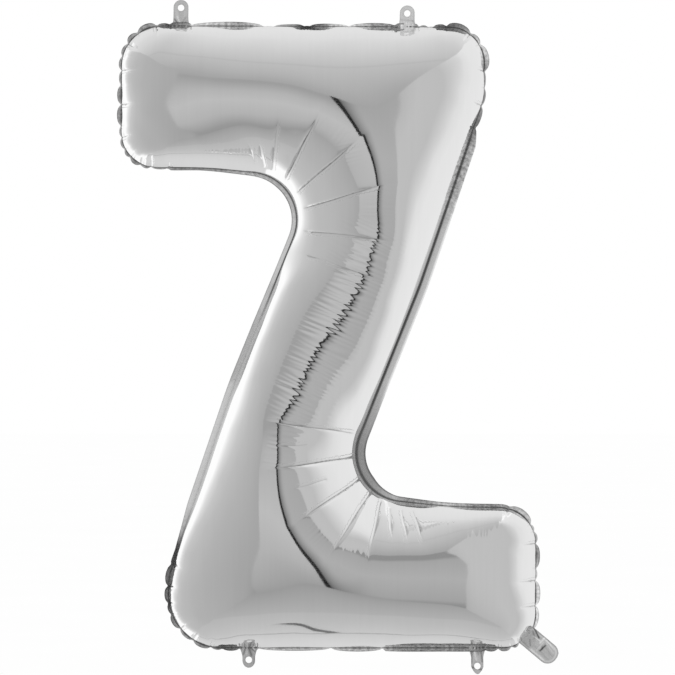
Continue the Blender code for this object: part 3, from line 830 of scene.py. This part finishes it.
def scalar(tree, operation, *values, clamp=False):
    return node(tree, "ShaderNodeMath", enumerate(values), operation=operation, use_clamp=clamp).outputs[0]


def vector(tree, *values):
    return node(tree, "ShaderNodeCombineXYZ", enumerate(values)).outputs[0]


def axes(tree, at):
    return node(tree, "ShaderNodeSeparateXYZ", {0: at}).outputs


def named_field(tree, name, kind="FLOAT"):
    return node(tree, "GeometryNodeInputNamedAttribute", {"Name": name}, data_type=kind).outputs["Attribute"]


def shader_noise(tree, at, scale, detail=2.0):
    inputs = {"Vector": at, "Scale": scale, "Detail": detail, "Roughness": 0.5}
    return node(tree, "ShaderNodeTexNoise", inputs, noise_dimensions="3D").outputs[0]


def band_tree():
    """Draws the seam line out into a ribbon that curls and crumples towards its free edge."""
    settings = {"Crumple": ("Float", 1.0), "Pitch": ("Float", 5 * MM), "Foil": ("Material", None)}
    inputs = {"Mesh": ("Geometry", None), **settings}
    tree, given, result = node_group("seal_band", "GeometryNodeTree", inputs, {"Mesh": "Geometry"})
    reach, fold, crumple, along = (named_field(tree, name) for name in ("reach", "fold", "crumple", "along"))
    across, step = named_field(tree, "across", "FLOAT_VECTOR"), scalar(tree, "DIVIDE", reach, BAND_RINGS)
    offset = node(tree, "ShaderNodeVectorMath", {0: across, "Scale": step}, operation="SCALE").outputs[0]
    crumple = scalar(tree, "MULTIPLY", crumple, given["Crumple"])
    band, edge = given["Mesh"], {}
    for ring in range(1, BAND_RINGS + 1):
        share = ring / BAND_RINGS
        inputs = {"Mesh": band, "Offset": offset, "Offset Scale": 1, **edge}
        grown = node(tree, "GeometryNodeExtrudeMesh", inputs, mode="EDGES").outputs
        edge = {"Selection": grown["Top"]}
        spot = vector(tree, scalar(tree, "DIVIDE", along, given["Pitch"]), 1.3 * share, 0.0)
        ruffle = scalar(tree, "SUBTRACT", shader_noise(tree, spot, 1.0, 1.5), 0.5)
        ruffle = scalar(tree, "MULTIPLY", ruffle, crumple)
        depth = scalar(tree, "MULTIPLY_ADD", ruffle, share**0.7, scalar(tree, "MULTIPLY", fold, share**1.8))
        x, _, z = axes(tree, node(tree, "GeometryNodeInputPosition").outputs[0])
        inputs = {"Geometry": grown["Mesh"], "Position": vector(tree, x, depth, z), **edge}
        moved = node(tree, "GeometryNodeSetPosition", inputs).outputs[0]
        inputs = {"Geometry": moved, "Name": "out", "Value": share, **edge}
        store = node(tree, "GeometryNodeStoreNamedAttribute", inputs, data_type="FLOAT", domain="POINT")
        band = store.outputs[0]
    whole = node(tree, "GeometryNodeRealizeInstances", {0: band}).outputs[0]
    painted = node(tree, "GeometryNodeSetMaterial", {"Geometry": whole, "Material": given["Foil"]})
    wire(tree, painted.outputs[0], result[0])
    return tree


def made_by_nodes(obj, tree, values):
    """Runs a Geometry Nodes tree on an object and keeps the plain mesh that it makes."""
    modifier = obj.modifiers.new(tree.name, "NODES")
    modifier.node_group = tree
    for item in tree.interface.items_tree:
        if item.item_type == "SOCKET" and item.in_out == "INPUT" and item.name in values:
            modifier[item.identifier] = values[item.name]
    bpy.context.view_layer.update()
    graph = bpy.context.evaluated_depsgraph_get()
    made = bpy.data.meshes.new_from_object(obj.evaluated_get(graph))
    obj.modifiers.remove(modifier)
    obj.data = made


def band_values(wear, along):
    """What the seal band carries at places along the seam."""
    spots = [(spot, kind) for kind, spots in BAND_PLACES.items() for spot in spots]
    anchors = seam_places(wear.seam, [spot for spot, _ in spots])
    order = np.argsort(anchors)
    table = np.array([BAND_KINDS[kind] for _, kind in spots])[order]
    values = [np.interp(along, anchors[order], column, period=wear.length) for column in table.T]
    reach = np.maximum(values[0] * PIXEL - SEAM_OUT, 0.4 * MM)
    for start, end, (_, _, _, lobe) in zip(wear.pinches, np.roll(wear.pinches, -1), PINCHES):
        share = ((along - start) % wear.length) / ((end - start) % wear.length)
        lobed = (share < 1) & (lobe > 0)
        bow = (4 * share[lobed] * (1 - share[lobed])) ** 0.42
        reach[lobed] = np.maximum(((lobe + 1) * PIXEL - SEAM_OUT) * bow, 0.5 * MM)
    sway = noise_at(along / (60 * MM), along * 0, 4.5)
    curl = np.sqrt(np.maximum(BAND_WIDTH**2 - reach**2, 0)) * np.tanh(4 * sway) * 0.6
    fields = {"reach": reach, "crumple": values[4] * MM, "fold": curl + values[5] * MM}
    fields["blotches"] = values[6]
    # the band's painted light and shade, at the seam, in the middle and at the free edge
    for name, tone in zip(("seam_painted_light", "middle_painted_light", "edge_painted_light"), values[1:4]):
        fields[name] = screen_light(tone) / BAND_LIGHT
    return fields


def seal_band(film, wear, material):
    """The welded band round the seam: flat where the seam is taut, in lobes where it is gathered."""
    rim = film.rim_line()
    count = len(rim)
    along = along_line(rim, wear.seam)[0]
    across = outward_at(evenly_spaced(wear.seam, count), along / wear.length)
    mesh = bpy.data.meshes.new("seal_band")
    mesh.from_pydata(film.at[film.rim].tolist(), [(i, (i + 1) % count) for i in range(count)], [])
    spread = np.stack([across[:, 0], np.zeros(count), across[:, 1]], axis=1)
    mesh.attributes.new("across", "FLOAT_VECTOR", "POINT").data.foreach_set("vector", spread.ravel())
    paint_points(mesh, {"along": along, "out": np.zeros(count), **band_values(wear, along)})
    obj = new_object("seal_band", mesh)
    made_by_nodes(obj, band_tree(), {"Crumple": BAND_CRUMPLE, "Pitch": BAND_PITCH, "Foil": material})
    obj.data.shade_smooth()
    return obj


TAB_WIDTH = 21.4 * MM
TAB_ROOT = 27 * MM
TAB_HOLE_RADIUS = 4.7 * MM
TAB_HOLE_FROM_TIP = 11.5 * MM

# The hanging tabs: which way they stand; from the root to the end of the piece in the CAD model, and to the
# tip; how far the tip leans to the right; how pleated the root is, how crumpled, and how far the tip bends
# back, all in millimetres; the share by which the pleats narrow it and the tip is pointed; the foil's tone,
# which carries painted light: each tab is lighter or darker as it is lit.
TABS = {
    "tab_top_left": (1, 40, 40, 0.4, 0.3, 1.0, 2.0, 0.0, 0.0, 172),
    "tab_top_right": (1, 33, 33, 0.4, 0.2, 0.5, -1.0, 0.0, 0.0, 193),
    "tab_bottom_left": (-1, 33, 31.2, 0.0, 1.1, 0.4, 2.0, 0.15, 0.0, 172),
    "tab_bottom_right": (-1, 40, 40, 0.5, 0.9, 0.8, -4.0, 0.18, 0.35, 180),
}
# Folds of the tabs in millimetres: both ends, as (side, reach), how wide, and how much darker or lighter
# they are painted, as shade and highlight.
TAB_FOLDS = {
    "tab_top_left": (
        ((-9, 12), (-3, 4), 1.0, -0.45), ((-4, 3), (7, 5), 1.2, -0.5), ((-8, 1), (9, 1), 1.4, -0.35),
        ((2, 6), (6, 14), 1.4, -0.2), ((-2, 8), (-5, 16), 1.0, 0.25), ((7, 8), (10, 2), 0.9, -0.3),
    ),
    "tab_top_right": (
        ((-9, 12.5), (8, 11), 1.0, -0.14), ((8, 11), (12, 2), 1.0, -0.2), ((-9, 6), (-6, 0), 1.2, 0.2),
        ((-1, 8), (3, 0), 1.2, 0.12), ((-12, 1), (12, 1), 1.2, -0.2),
    ),
    "tab_bottom_left": (
        ((0, 1), (3.8, 13), 2.0, -0.4), ((-4.5, 0), (-7.6, 12), 0.9, -0.4), ((1.5, 1), (9, 8), 0.8, -0.45),
        ((2.5, 0), (9, 5), 0.8, 0.3), ((-1.5, 2), (-3.5, 12), 1.0, 0.15), ((-6, 0), (6, 0.5), 1.2, -0.5),
        ((8, 16), (7.4, 25), 1.2, -0.2),
    ),
    "tab_bottom_right": (
        ((-5, 0), (-1.5, 20), 1.0, 0.35), ((-7.5, 3), (-8, 24), 1.0, -0.3), ((5, 1), (7, 22), 1.2, -0.35),
        ((1, 0), (2, 12), 1.6, -0.2), ((-8, 30), (8, 34), 1.4, -0.4), ((-7, 0), (7, 0.5), 1.4, -0.45),
    ),
}


def screen_light(tone):
    """The light that comes out as a screen tone from 0 to 255."""
    return ((tone / 255 + 0.055) / 1.055) ** 2.4


def fold_tones(points, tone, folds):
    """The foil's tone at points of a flat piece, with painted shade and painted highlights along its folds.
    """
    light = np.ones(len(points))
    for start, end, width, change in folds:
        start, end = np.array(start) * MM, np.array(end) * MM
        share, side = line_shares(points, start, end)
        beyond = np.maximum(np.abs(share - 0.5) - 0.5, 0) * norm(end - start)
        light += 1.5 * change * np.exp(-(side**2 + beyond**2) / (width * MM) ** 2)
    return np.clip(screen_light(tone) / BAND_LIGHT * light, 0.01, 1)


def paint_points(mesh, fields):
    """Gives a mesh named values at its points."""
    for name, values in fields.items():
        field = mesh.attributes.new(name, "FLOAT", "POINT")
        field.data.foreach_set("value", values.astype(np.float32))


def tab_outline(length, narrow, pointed):
    """A tab's outline from its root to its tip, as (side, reach)."""
    half = TAB_WIDTH / 2
    share = np.linspace(0, 1, 9)
    flare = np.stack([-half - (TAB_ROOT / 2 - half) * (1 - share) ** 2, 16 * MM * share], axis=1)
    tip = arc((0, length - half), half, 180, 0, 32)
    side, reach = np.vstack([flare, tip, (flare * (-1, 1))[::-1]]).T
    slimmer = 1 - narrow * np.clip((reach - 4 * MM) / (12 * MM), 0, 1)
    sharper = 1 - pointed * np.maximum(reach - (length - half), 0) / half
    return np.stack([side * slimmer * sharper, reach], axis=1)


def hanging_tab(name, material, seed):
    up, *sizes, narrow, pointed, tone = TABS[name]
    span, length, lean, pleat, crumple, bend = np.array(sizes) * MM
    low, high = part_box(name)
    root = high.z - span if up > 0 else low.z + span
    outline = tab_outline(length, narrow, pointed)
    hole = arc((0, length - TAB_HOLE_FROM_TIP), TAB_HOLE_RADIUS, 0, -360, 32)[:-1]
    points, faces = filled(outline, holes=[hole])
    x, reach = points.T
    share = reach / length
    depth = pleat * np.sin(np.arctan2(x, reach + 6 * MM) * 14 + seed) * np.clip(1.25 - share * 1.6, 0, 1)
    depth += crumple * noise_at(x / (6 * MM), reach / (8 * MM), seed) * np.clip(1 - 2 * share, 0, 1)
    depth += bend * share**2 + 0.3 * MM * np.sin(x / (6 * MM))
    at = np.stack([(low.x + high.x) / 2 + x + lean * share**2, depth, root + up * reach], axis=1)
    obj = mesh_object(name + "_film", at, faces, material)
    edge = np.minimum(along_line(points, outline)[1], along_line(points, hole)[1])
    rim = 1 - 0.18 * np.exp(-((edge / (1.2 * MM)) ** 2))
    # painted shade and highlights along the folds, and darker along the edges and round the hole
    paint_points(obj.data, {"tone": fold_tones(points, tone, TAB_FOLDS[name]) * rim})
    return obj


TAIL_ANGLE = math.radians(-40)
TAIL_WIDTH = 30.4 * MM
TAIL_ASIDE = -1.3 * MM  # how far its middle lies to the side
TAIL_REACH = 55 * MM
TAIL_MOUTH_RADIUS = 14 * MM
TAIL_TONE = 172
# The tail's folds and weld lines in millimetres, as (reach, side), how wide, and how much darker or lighter;
# along the folds this is painted shade and painted highlight.
TAIL_FOLDS = (
    ((22.6, 3), (22.6, 14), 1.3, 0.4), ((25.6, 7), (25.3, -8), 1.0, 0.2),
    ((30.6, 4.8), (29.6, -5.8), 1.1, -0.62), ((28, 1), (31, -3), 1.0, -0.2),
    ((27, 11.6), (44, 8.4), 0.8, 0.3), ((30.3, 8), (47, 3.4), 0.7, 0.22), ((32, 3), (49, -1), 0.8, -0.12),
    ((2.6, 13.7), (16.3, 7.4), 1.2, -0.6), ((9, 4), (20, 5), 0.9, 0.45), ((4, 9), (12, 3), 1.4, -0.3),
    ((8, -3), (14, -9), 1.0, -0.25), ((18, -12.4), (42, -12.6), 0.9, 0.25),
    ((0, -12), (14, -13), 1.2, -0.25), ((20, -6), (46, -8), 1.2, -0.1),
)
SLEEVE_WIDTH = 18.4 * MM
SLEEVE_INSIDE = 14 * MM  # how far the valve sleeve reaches in past the seam
SLEEVE_REACH = 53 * MM  # and out towards the mouth


def tail_points(seam, out, aside, depth):
    """Points of the tail, from how far out of the seam, how far aside and how deep they lie."""
    along = np.array([math.cos(TAIL_ANGLE), math.sin(TAIL_ANGLE)])
    root = seam[np.argmax(outward(seam) @ along + (seam @ along) * 4)]
    plan = root + out[:, None] * along + aside[:, None] * (-along[1], along[0])
    return np.stack([plan[:, 0], depth, plan[:, 1]], axis=1)


def tail_layer(name, side, seam, material):
    """One film layer of the inflation tail: side is -1 for the front one and 1 for the back one."""
    half, radius = TAIL_WIDTH / 2, TAIL_MOUTH_RADIUS
    mouth = [
        arc((TAIL_REACH - radius, turn * (half - radius)), radius, first, first + 90, 8)
        for turn, first in ((-1, -90), (1, 0))
    ]
    outline = np.vstack([(-2 * MM, -half), *mouth, (-2 * MM, half)])
    points, faces = filled(outline)
    s, t = points[:, 0], points[:, 1] + TAIL_ASIDE
    edge = along_line(points, outline)[1]
    depth = 0.5 * MM + 1.0 * MM * np.clip((edge - 2.5 * MM) / (3 * MM), 0, 1)
    depth += 0.5 * MM * noise_at(s / (11 * MM), t / (7 * MM), 3.0 + side) * np.clip(edge / (3 * MM), 0, 1)
    depth += 1.2 * MM * np.exp(-(((s - 24 * MM) / (4 * MM)) ** 2))
    faces = faces if side < 0 else faces[:, ::-1]
    obj = mesh_object(name + "_film", tail_points(seam, s, t, side * depth), faces, material)
    weld = 0.34 * np.exp(-(((edge - 2.9 * MM) / (0.9 * MM)) ** 2))
    rim = 0.25 * np.exp(-((edge / (1.5 * MM)) ** 2))
    # painted shade and highlights along the folds; a lighter weld line and a darker very edge
    tones = fold_tones(np.stack([s, t], axis=1), TAIL_TONE, TAIL_FOLDS)
    paint_points(obj.data, {"tone": tones * (1 + weld - rim)})
    return obj


def valve_sleeve(seam, material):
    """The valve: two thin films between the tail's layers, which ripple where they lie loose."""
    half = SLEEVE_WIDTH / 2
    loop = [(-SLEEVE_INSIDE, -half), (SLEEVE_REACH, -half), (SLEEVE_REACH, half), (-SLEEVE_INSIDE, half)]
    points, faces = filled(evenly_spaced(np.array(loop), 120))
    s, t = points.T
    gap = 0.12 * MM + 0.2 * MM * np.cos(math.pi * t / SLEEVE_WIDTH)
    gap += 0.08 * MM * noise_at(s / (6 * MM), t / (4 * MM), 2.5)
    layers = np.vstack([tail_points(seam, s, t, side * gap) for side in (-1, 1)])
    faces = np.vstack([faces, faces[:, ::-1] + len(points)])
    return mesh_object("valve_sleeve_film", layers, faces, material)


def foil_grain():
    """The grain of rolled foil: faint streaks in the rolling direction, and fine dimples."""
    pitches = {"Streak pitch": ("Float", 4 * MM), "Dimple pitch": ("Float", 2 * MM)}
    inputs, outputs = {"Place": ("Vector", None), **pitches}, {"Streaks": "Float", "Dimples": "Float"}
    tree, given, result = node_group("foil_grain", "ShaderNodeTree", inputs, outputs)
    pitches = (given["Streak pitch"], 0.05, scalar(tree, "MULTIPLY", given["Streak pitch"], 30.0))
    places = zip(axes(tree, given["Place"]), pitches)
    streaks = vector(tree, *(scalar(tree, "DIVIDE", at, pitch) for at, pitch in places))
    scale = {0: given["Place"], 1: vector(tree, *[given["Dimple pitch"]] * 3)}
    dimples = node(tree, "ShaderNodeVectorMath", scale, operation="DIVIDE").outputs[0]
    wire(tree, shader_noise(tree, streaks, 1.0, 3.0), result["Streaks"])
    wire(tree, shader_noise(tree, dimples, 1.0), result["Dimples"])
    return tree


def new_material(name):
    material = bpy.data.materials.new(name)
    material.use_nodes = True
    return material, material.node_tree


def own_place(tree):
    """Where on its object a material is."""
    return node(tree, "ShaderNodeTexCoord").outputs["Object"]


def new_foil(name, grain, streak_pitch, dimple_pitch):
    """A foil material with the grain group placed in it. Returns it, its tree and the group's outputs."""
    material, tree = new_material(name)
    inputs = {"Place": own_place(tree), "Streak pitch": streak_pitch, "Dimple pitch": dimple_pitch}
    return material, tree, node(tree, "ShaderNodeGroup", inputs, node_tree=grain).outputs


def blend_colours(tree, share, dark, light):
    """A colour between two, each of which is a socket or a shade of grey."""
    sockets = bpy.types.NodeSocket
    a, b = (value if isinstance(value, sockets) else (value, value, value, 1) for value in (dark, light))
    return node(tree, "ShaderNodeMix", {"Factor": share, "A": a, "B": b}, data_type="RGBA").outputs["Result"]


def blended(tree, share, low, high):
    return node(tree, "ShaderNodeMix", {0: share, 2: low, 3: high}, data_type="FLOAT").outputs[0]


def ranged(tree, value, low, high):
    """Noise drawn out to a range, which its values from 0.3 to 0.7 fill."""
    inputs = {"Value": value, "From Min": 0.3, "From Max": 0.7, "To Min": low, "To Max": high}
    return node(tree, "ShaderNodeMapRange", inputs).outputs[0]


def painted_value(tree, name):
    """A value that the mesh carries."""
    return node(tree, "ShaderNodeAttribute", attribute_name=name).outputs["Fac"]


def finished(material, colour, roughness, metal, height, distance):
    """The material with its surface wired up, and with bumps."""
    tree = material.node_tree
    bump = node(tree, "ShaderNodeBump", {"Height": height, "Distance": distance, "Strength": 1.0})
    values = {"Base Color": colour, "Roughness": roughness, "Metallic": metal, "Normal": bump.outputs[0]}
    for name, value in values.items():
        wire(tree, value, tree.nodes["Principled BSDF"].inputs[name])
    return material


def silver_film(grain):
    """The bright film of the two inflated panels, with painted shade in the bottom of its sharp creases."""
    material, tree, marks = new_foil("silver_film", grain, 5 * MM, 2.5 * MM)
    broken = ranged(tree, marks["Streaks"], 0.75, 1.15)
    size = scalar(tree, "MULTIPLY", broken, painted_value(tree, "crease_sharpness"))
    side = painted_value(tree, "crease_side")

    def line_at(offset, width):
        away = scalar(tree, "ABSOLUTE", scalar(tree, "SUBTRACT", side, offset))
        return scalar(tree, "MULTIPLY", scalar(tree, "EXPONENT", scalar(tree, "DIVIDE", away, -width)), size)

    # painted shade: the base colour darkens just to one side of each sharp fold, in the bottom of the crease
    dark = scalar(tree, "MULTIPLY", line_at(-CREASE_LINE, CREASE_LINE), 0.75, clamp=True)
    colour = blend_colours(tree, dark, blend_colours(tree, marks["Streaks"], 0.92, 0.96), 0.06)
    roughness = ranged(tree, marks["Dimples"], 0.05, 0.085)
    fine = scalar(tree, "MULTIPLY", marks["Dimples"], 0.002)
    height = scalar(tree, "MULTIPLY_ADD", line_at(0.0, 1.4 * CREASE_LINE), -0.8, fine)
    return finished(material, colour, roughness, 1, height, 1 * MM)


def welded_foil(grain):
    """The two films of the seal band, welded flat: duller than the panels, with painted shade in its gathers
    and painted highlights where its edge leans back.
    """
    material, tree, marks = new_foil("welded_foil", grain, 2.5 * MM, 1.6 * MM)
    out = painted_value(tree, "out")
    # the seam's painted light and shade gives way over the inner quarter, and the free edge's comes in over
    # the outer one
    inner = scalar(tree, "MULTIPLY_ADD", out, 6.0, -0.6, clamp=True)
    outer = scalar(tree, "MULTIPLY_ADD", out, 5.0, -3.7, clamp=True)
    tone = blended(tree, inner, painted_value(tree, "seam_painted_light"), painted_value(tree, "middle_painted_light"))
    tone = blended(tree, outer, tone, painted_value(tree, "edge_painted_light"))
    along = scalar(tree, "DIVIDE", painted_value(tree, "along"), 4.5 * MM)
    spot = vector(tree, along, scalar(tree, "MULTIPLY", out, 1.6), 0.0)
    blotch = ranged(tree, shader_noise(tree, spot, 1.0, 3.0), -1.0, 1.0)
    change = scalar(tree, "MULTIPLY_ADD", blotch, painted_value(tree, "blotches"), 1.0)
    colour = blend_colours(tree, scalar(tree, "MULTIPLY", tone, change, clamp=True), 0.0, 1.0)
    roughness = ranged(tree, marks["Dimples"], 0.24, 0.3)
    return finished(material, colour, roughness, BAND_METAL, marks["Dimples"], 0.006 * MM)


def loose_foil(grain):
    """The doubled film of the hanging tabs and the tail, a little milky, with painted shade and highlights
    at its folds.
    """
    material, tree, marks = new_foil("loose_foil", grain, 3 * MM, 6 * MM)
    faint = ranged(tree, marks["Streaks"], 0.95, 1.05)
    tone = scalar(tree, "MULTIPLY", painted_value(tree, "tone"), faint, clamp=True)
    colour = blend_colours(tree, tone, 0.0, 1.0)
    roughness = ranged(tree, marks["Dimples"], 0.24, 0.32)
    return finished(material, colour, roughness, BAND_METAL, marks["Dimples"], 0.01 * MM)


def valve_film():
    """The milky film of the valve, clearer in streaks."""
    material, tree = new_material("valve_film")
    haze = shader_noise(tree, own_place(tree), 240.0, 3.0)
    tree.nodes["Principled BSDF"].inputs["Transmission Weight"].default_value = 0.35
    colour, roughness = blend_colours(tree, haze, 0.62, 0.86), ranged(tree, haze, 0.25, 0.45)
    return finished(material, colour, roughness, 0, haze, 0.05 * MM)


def lamp_material(name):
    """A material that only glows. Returns it, its tree, its colour's socket, and x, y and z on it."""
    material, tree = new_material(name)
    tree.nodes.clear()
    glow = node(tree, "ShaderNodeEmission")
    node(tree, "ShaderNodeOutputMaterial", {0: glow.outputs[0]})
    material.cycles.emission_sampling = "NONE"
    return material, tree, glow.inputs["Color"], axes(tree, own_place(tree))


def toned(tree, value, low, high, stops):
    """A tone that follows a value from low to high, through stops of (value, screen tone from 0 to 255)."""
    ramp = node(tree, "ShaderNodeValToRGB")
    wire(tree, scalar(tree, "DIVIDE", scalar(tree, "SUBTRACT", value, low), high - low), ramp.inputs[0])
    elements = ramp.color_ramp.elements
    while len(elements) < len(stops):
        elements.new(0.5)
    for element, (at, tone) in zip(elements, stops):
        element.position = (at - low) / (high - low)
        element.color = (*[screen_light(tone)] * 3, 1)
    return ramp.outputs[0]


def stage_panel(name, corners, material, unseen_by=("camera", "shadow", "diffuse")):
    """A glowing sheet of the surroundings, which some kinds of ray pass by."""
    obj = mesh_object(name, corners, [range(len(corners))], material)
    for ray in unseen_by:
        setattr(obj, "visible_" + ray, False)


def square(half):
    return [(-half, -half), (half, -half), (half, half), (-half, half)]


def light_tent():
    """The four sheets of the tent. Each grows brighter from its opening to the white backdrop."""
    sheets = {
        "tent_left": ([(TENT_LEFT, y, z) for y, z in LEFT_SHEET], LEFT_TONES, 0.0),
        "tent_right": ([(TENT_RIGHT, y, z) for y, z in RIGHT_SHEET], RIGHT_TONES, SHEET_SLANT),
        "tent_top": ([(x, y, TENT_TOP) for x, y in TOP_SHEET], TOP_TONES, 0.0),
        "tent_floor": ([(x, y, TENT_FLOOR) for x, y in FLOOR_SHEET], FLOOR_TONES, 0.0),
        "cable": ([(x, y, TENT_FLOOR + 0.01) for x, y in CABLE], CABLE_TONES, 0.0),
    }
    for name, (corners, tones, slant) in sheets.items():
        material, tree, colour, (_, y, z) = lamp_material(name)
        along = scalar(tree, "MULTIPLY_ADD", z, slant, y)
        wire(tree, toned(tree, along, TONES_FROM, TONES_TO, tones), colour)
        stage_panel(name, corners, material)


def room():
    """The grey room beyond the tent's opening, with a dark upright in its middle."""
    material, tree, colour, (x, _, z) = lamp_material("room")
    walls = [toned(tree, z, -ROOM_HALF, ROOM_HALF, tones) for tones in (ROOM_LEFT_TONES, ROOM_RIGHT_TONES)]
    right = scalar(tree, "GREATER_THAN", x, 0.0)
    fade = scalar(tree, "SUBTRACT", 1.0, scalar(tree, "DIVIDE", x, UPRIGHT_SHADE), clamp=True)
    shadow = scalar(tree, "MULTIPLY", scalar(tree, "POWER", fade, 1.7), right)
    off_middle = scalar(tree, "ABSOLUTE", scalar(tree, "SUBTRACT", x, UPRIGHT / 2))
    upright = scalar(tree, "MULTIPLY", scalar(tree, "LESS_THAN", off_middle, UPRIGHT / 2), UPRIGHT_DARK)
    dark = scalar(tree, "MAXIMUM", scalar(tree, "MULTIPLY", shadow, SHADE_DARK), upright)
    wire(tree, blend_colours(tree, dark, blend_colours(tree, right, *walls), 0.0), colour)
    stage_panel("room", [(x, -ROOM_AWAY, z) for x, z in square(ROOM_HALF)], material)


def backdrop():
    """White behind the balloon for the camera, and soft white light from behind for its foil."""
    world = bpy.data.worlds.new("backdrop")
    bpy.context.scene.world = world
    world.use_nodes = True
    world.node_tree.nodes["Background"].inputs["Color"].default_value = (1, 1, 1, 1)


def pale_floor():
    """A pale floor that comes out almost white, as the backdrop does."""
    material, tree, colour, _ = lamp_material("pale_floor")
    wire(tree, blend_colours(tree, shader_noise(tree, own_place(tree), 3.0), 0.985, 1.0), colour)
    corners = [(x, y, FLOOR_HEIGHT) for x, y in square(FLOOR_HALF)]
    stage_panel("pale_floor", corners, material, ("glossy", "diffuse"))


def soft_light(name, at, size, power):
    """A wide lamp that lights the floor and the dull pieces, and leaves no spot in the foil."""
    data = bpy.data.lights.new(name, "AREA")
    data.size = size
    data.energy = power
    obj = new_object(name, data)
    obj.location = at
    obj.rotation_euler = (-Vector(at)).to_track_quat("-Z", "Y").to_euler()
    obj.visible_glossy = False


def camera():
    data = bpy.data.cameras.new("camera")
    obj = new_object("camera", data)
    x, z = place((PICTURE / 2, PICTURE / 2))
    obj.location = (x, -CAMERA_AWAY, z)
    obj.rotation_euler = (math.pi / 2, 0, 0)
    data.sensor_width = SENSOR
    data.lens = SENSOR * CAMERA_AWAY / (PICTURE * PIXEL)
    data.clip_end = 100
    bpy.context.scene.camera = obj
    bpy.context.scene.view_settings.view_transform = "Standard"


def main():
    camera()
    grain = foil_grain()
    silver, welded, loose = silver_film(grain), welded_foil(grain), loose_foil(grain)
    film = blown_up_film()
    flat_area = float(film.flat_areas().sum())
    wear = Wear(evenly_spaced(film.rim_line(), 420))
    film = detailed(film, wear)
    panels = []
    for name, side, seed in (("film_front", -1, 1.5), ("film_back", 1, 21.5)):
        worn_film, marks = worn(film, wear, seed)
        panels.append((film_object(name + "_foil", side, worn_film, marks, silver), name))
    pieces = [(seal_band(worn_film, wear, welded), "seal_flange")]
    for seed, name in enumerate(TABS):
        pieces.append((hanging_tab(name, loose, seed), name))
    seam = rounded_outline(SEAM_CORNERS, 2.5 * MM)
    for name, side in (("tail_front", -1), ("tail_back", 1)):
        pieces.append((tail_layer(name, side, seam, loose), name))
    sleeve = valve_sleeve(seam, valve_film())
    for obj, name in panels + pieces + [(sleeve, "valve_sleeve")]:
        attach(obj, "root")
        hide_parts(name)
    light_tent()
    room()
    backdrop()
    pale_floor()
    soft_light("key_light", (-2.5, -3.0, 3.5), 2.5, 120)


main()
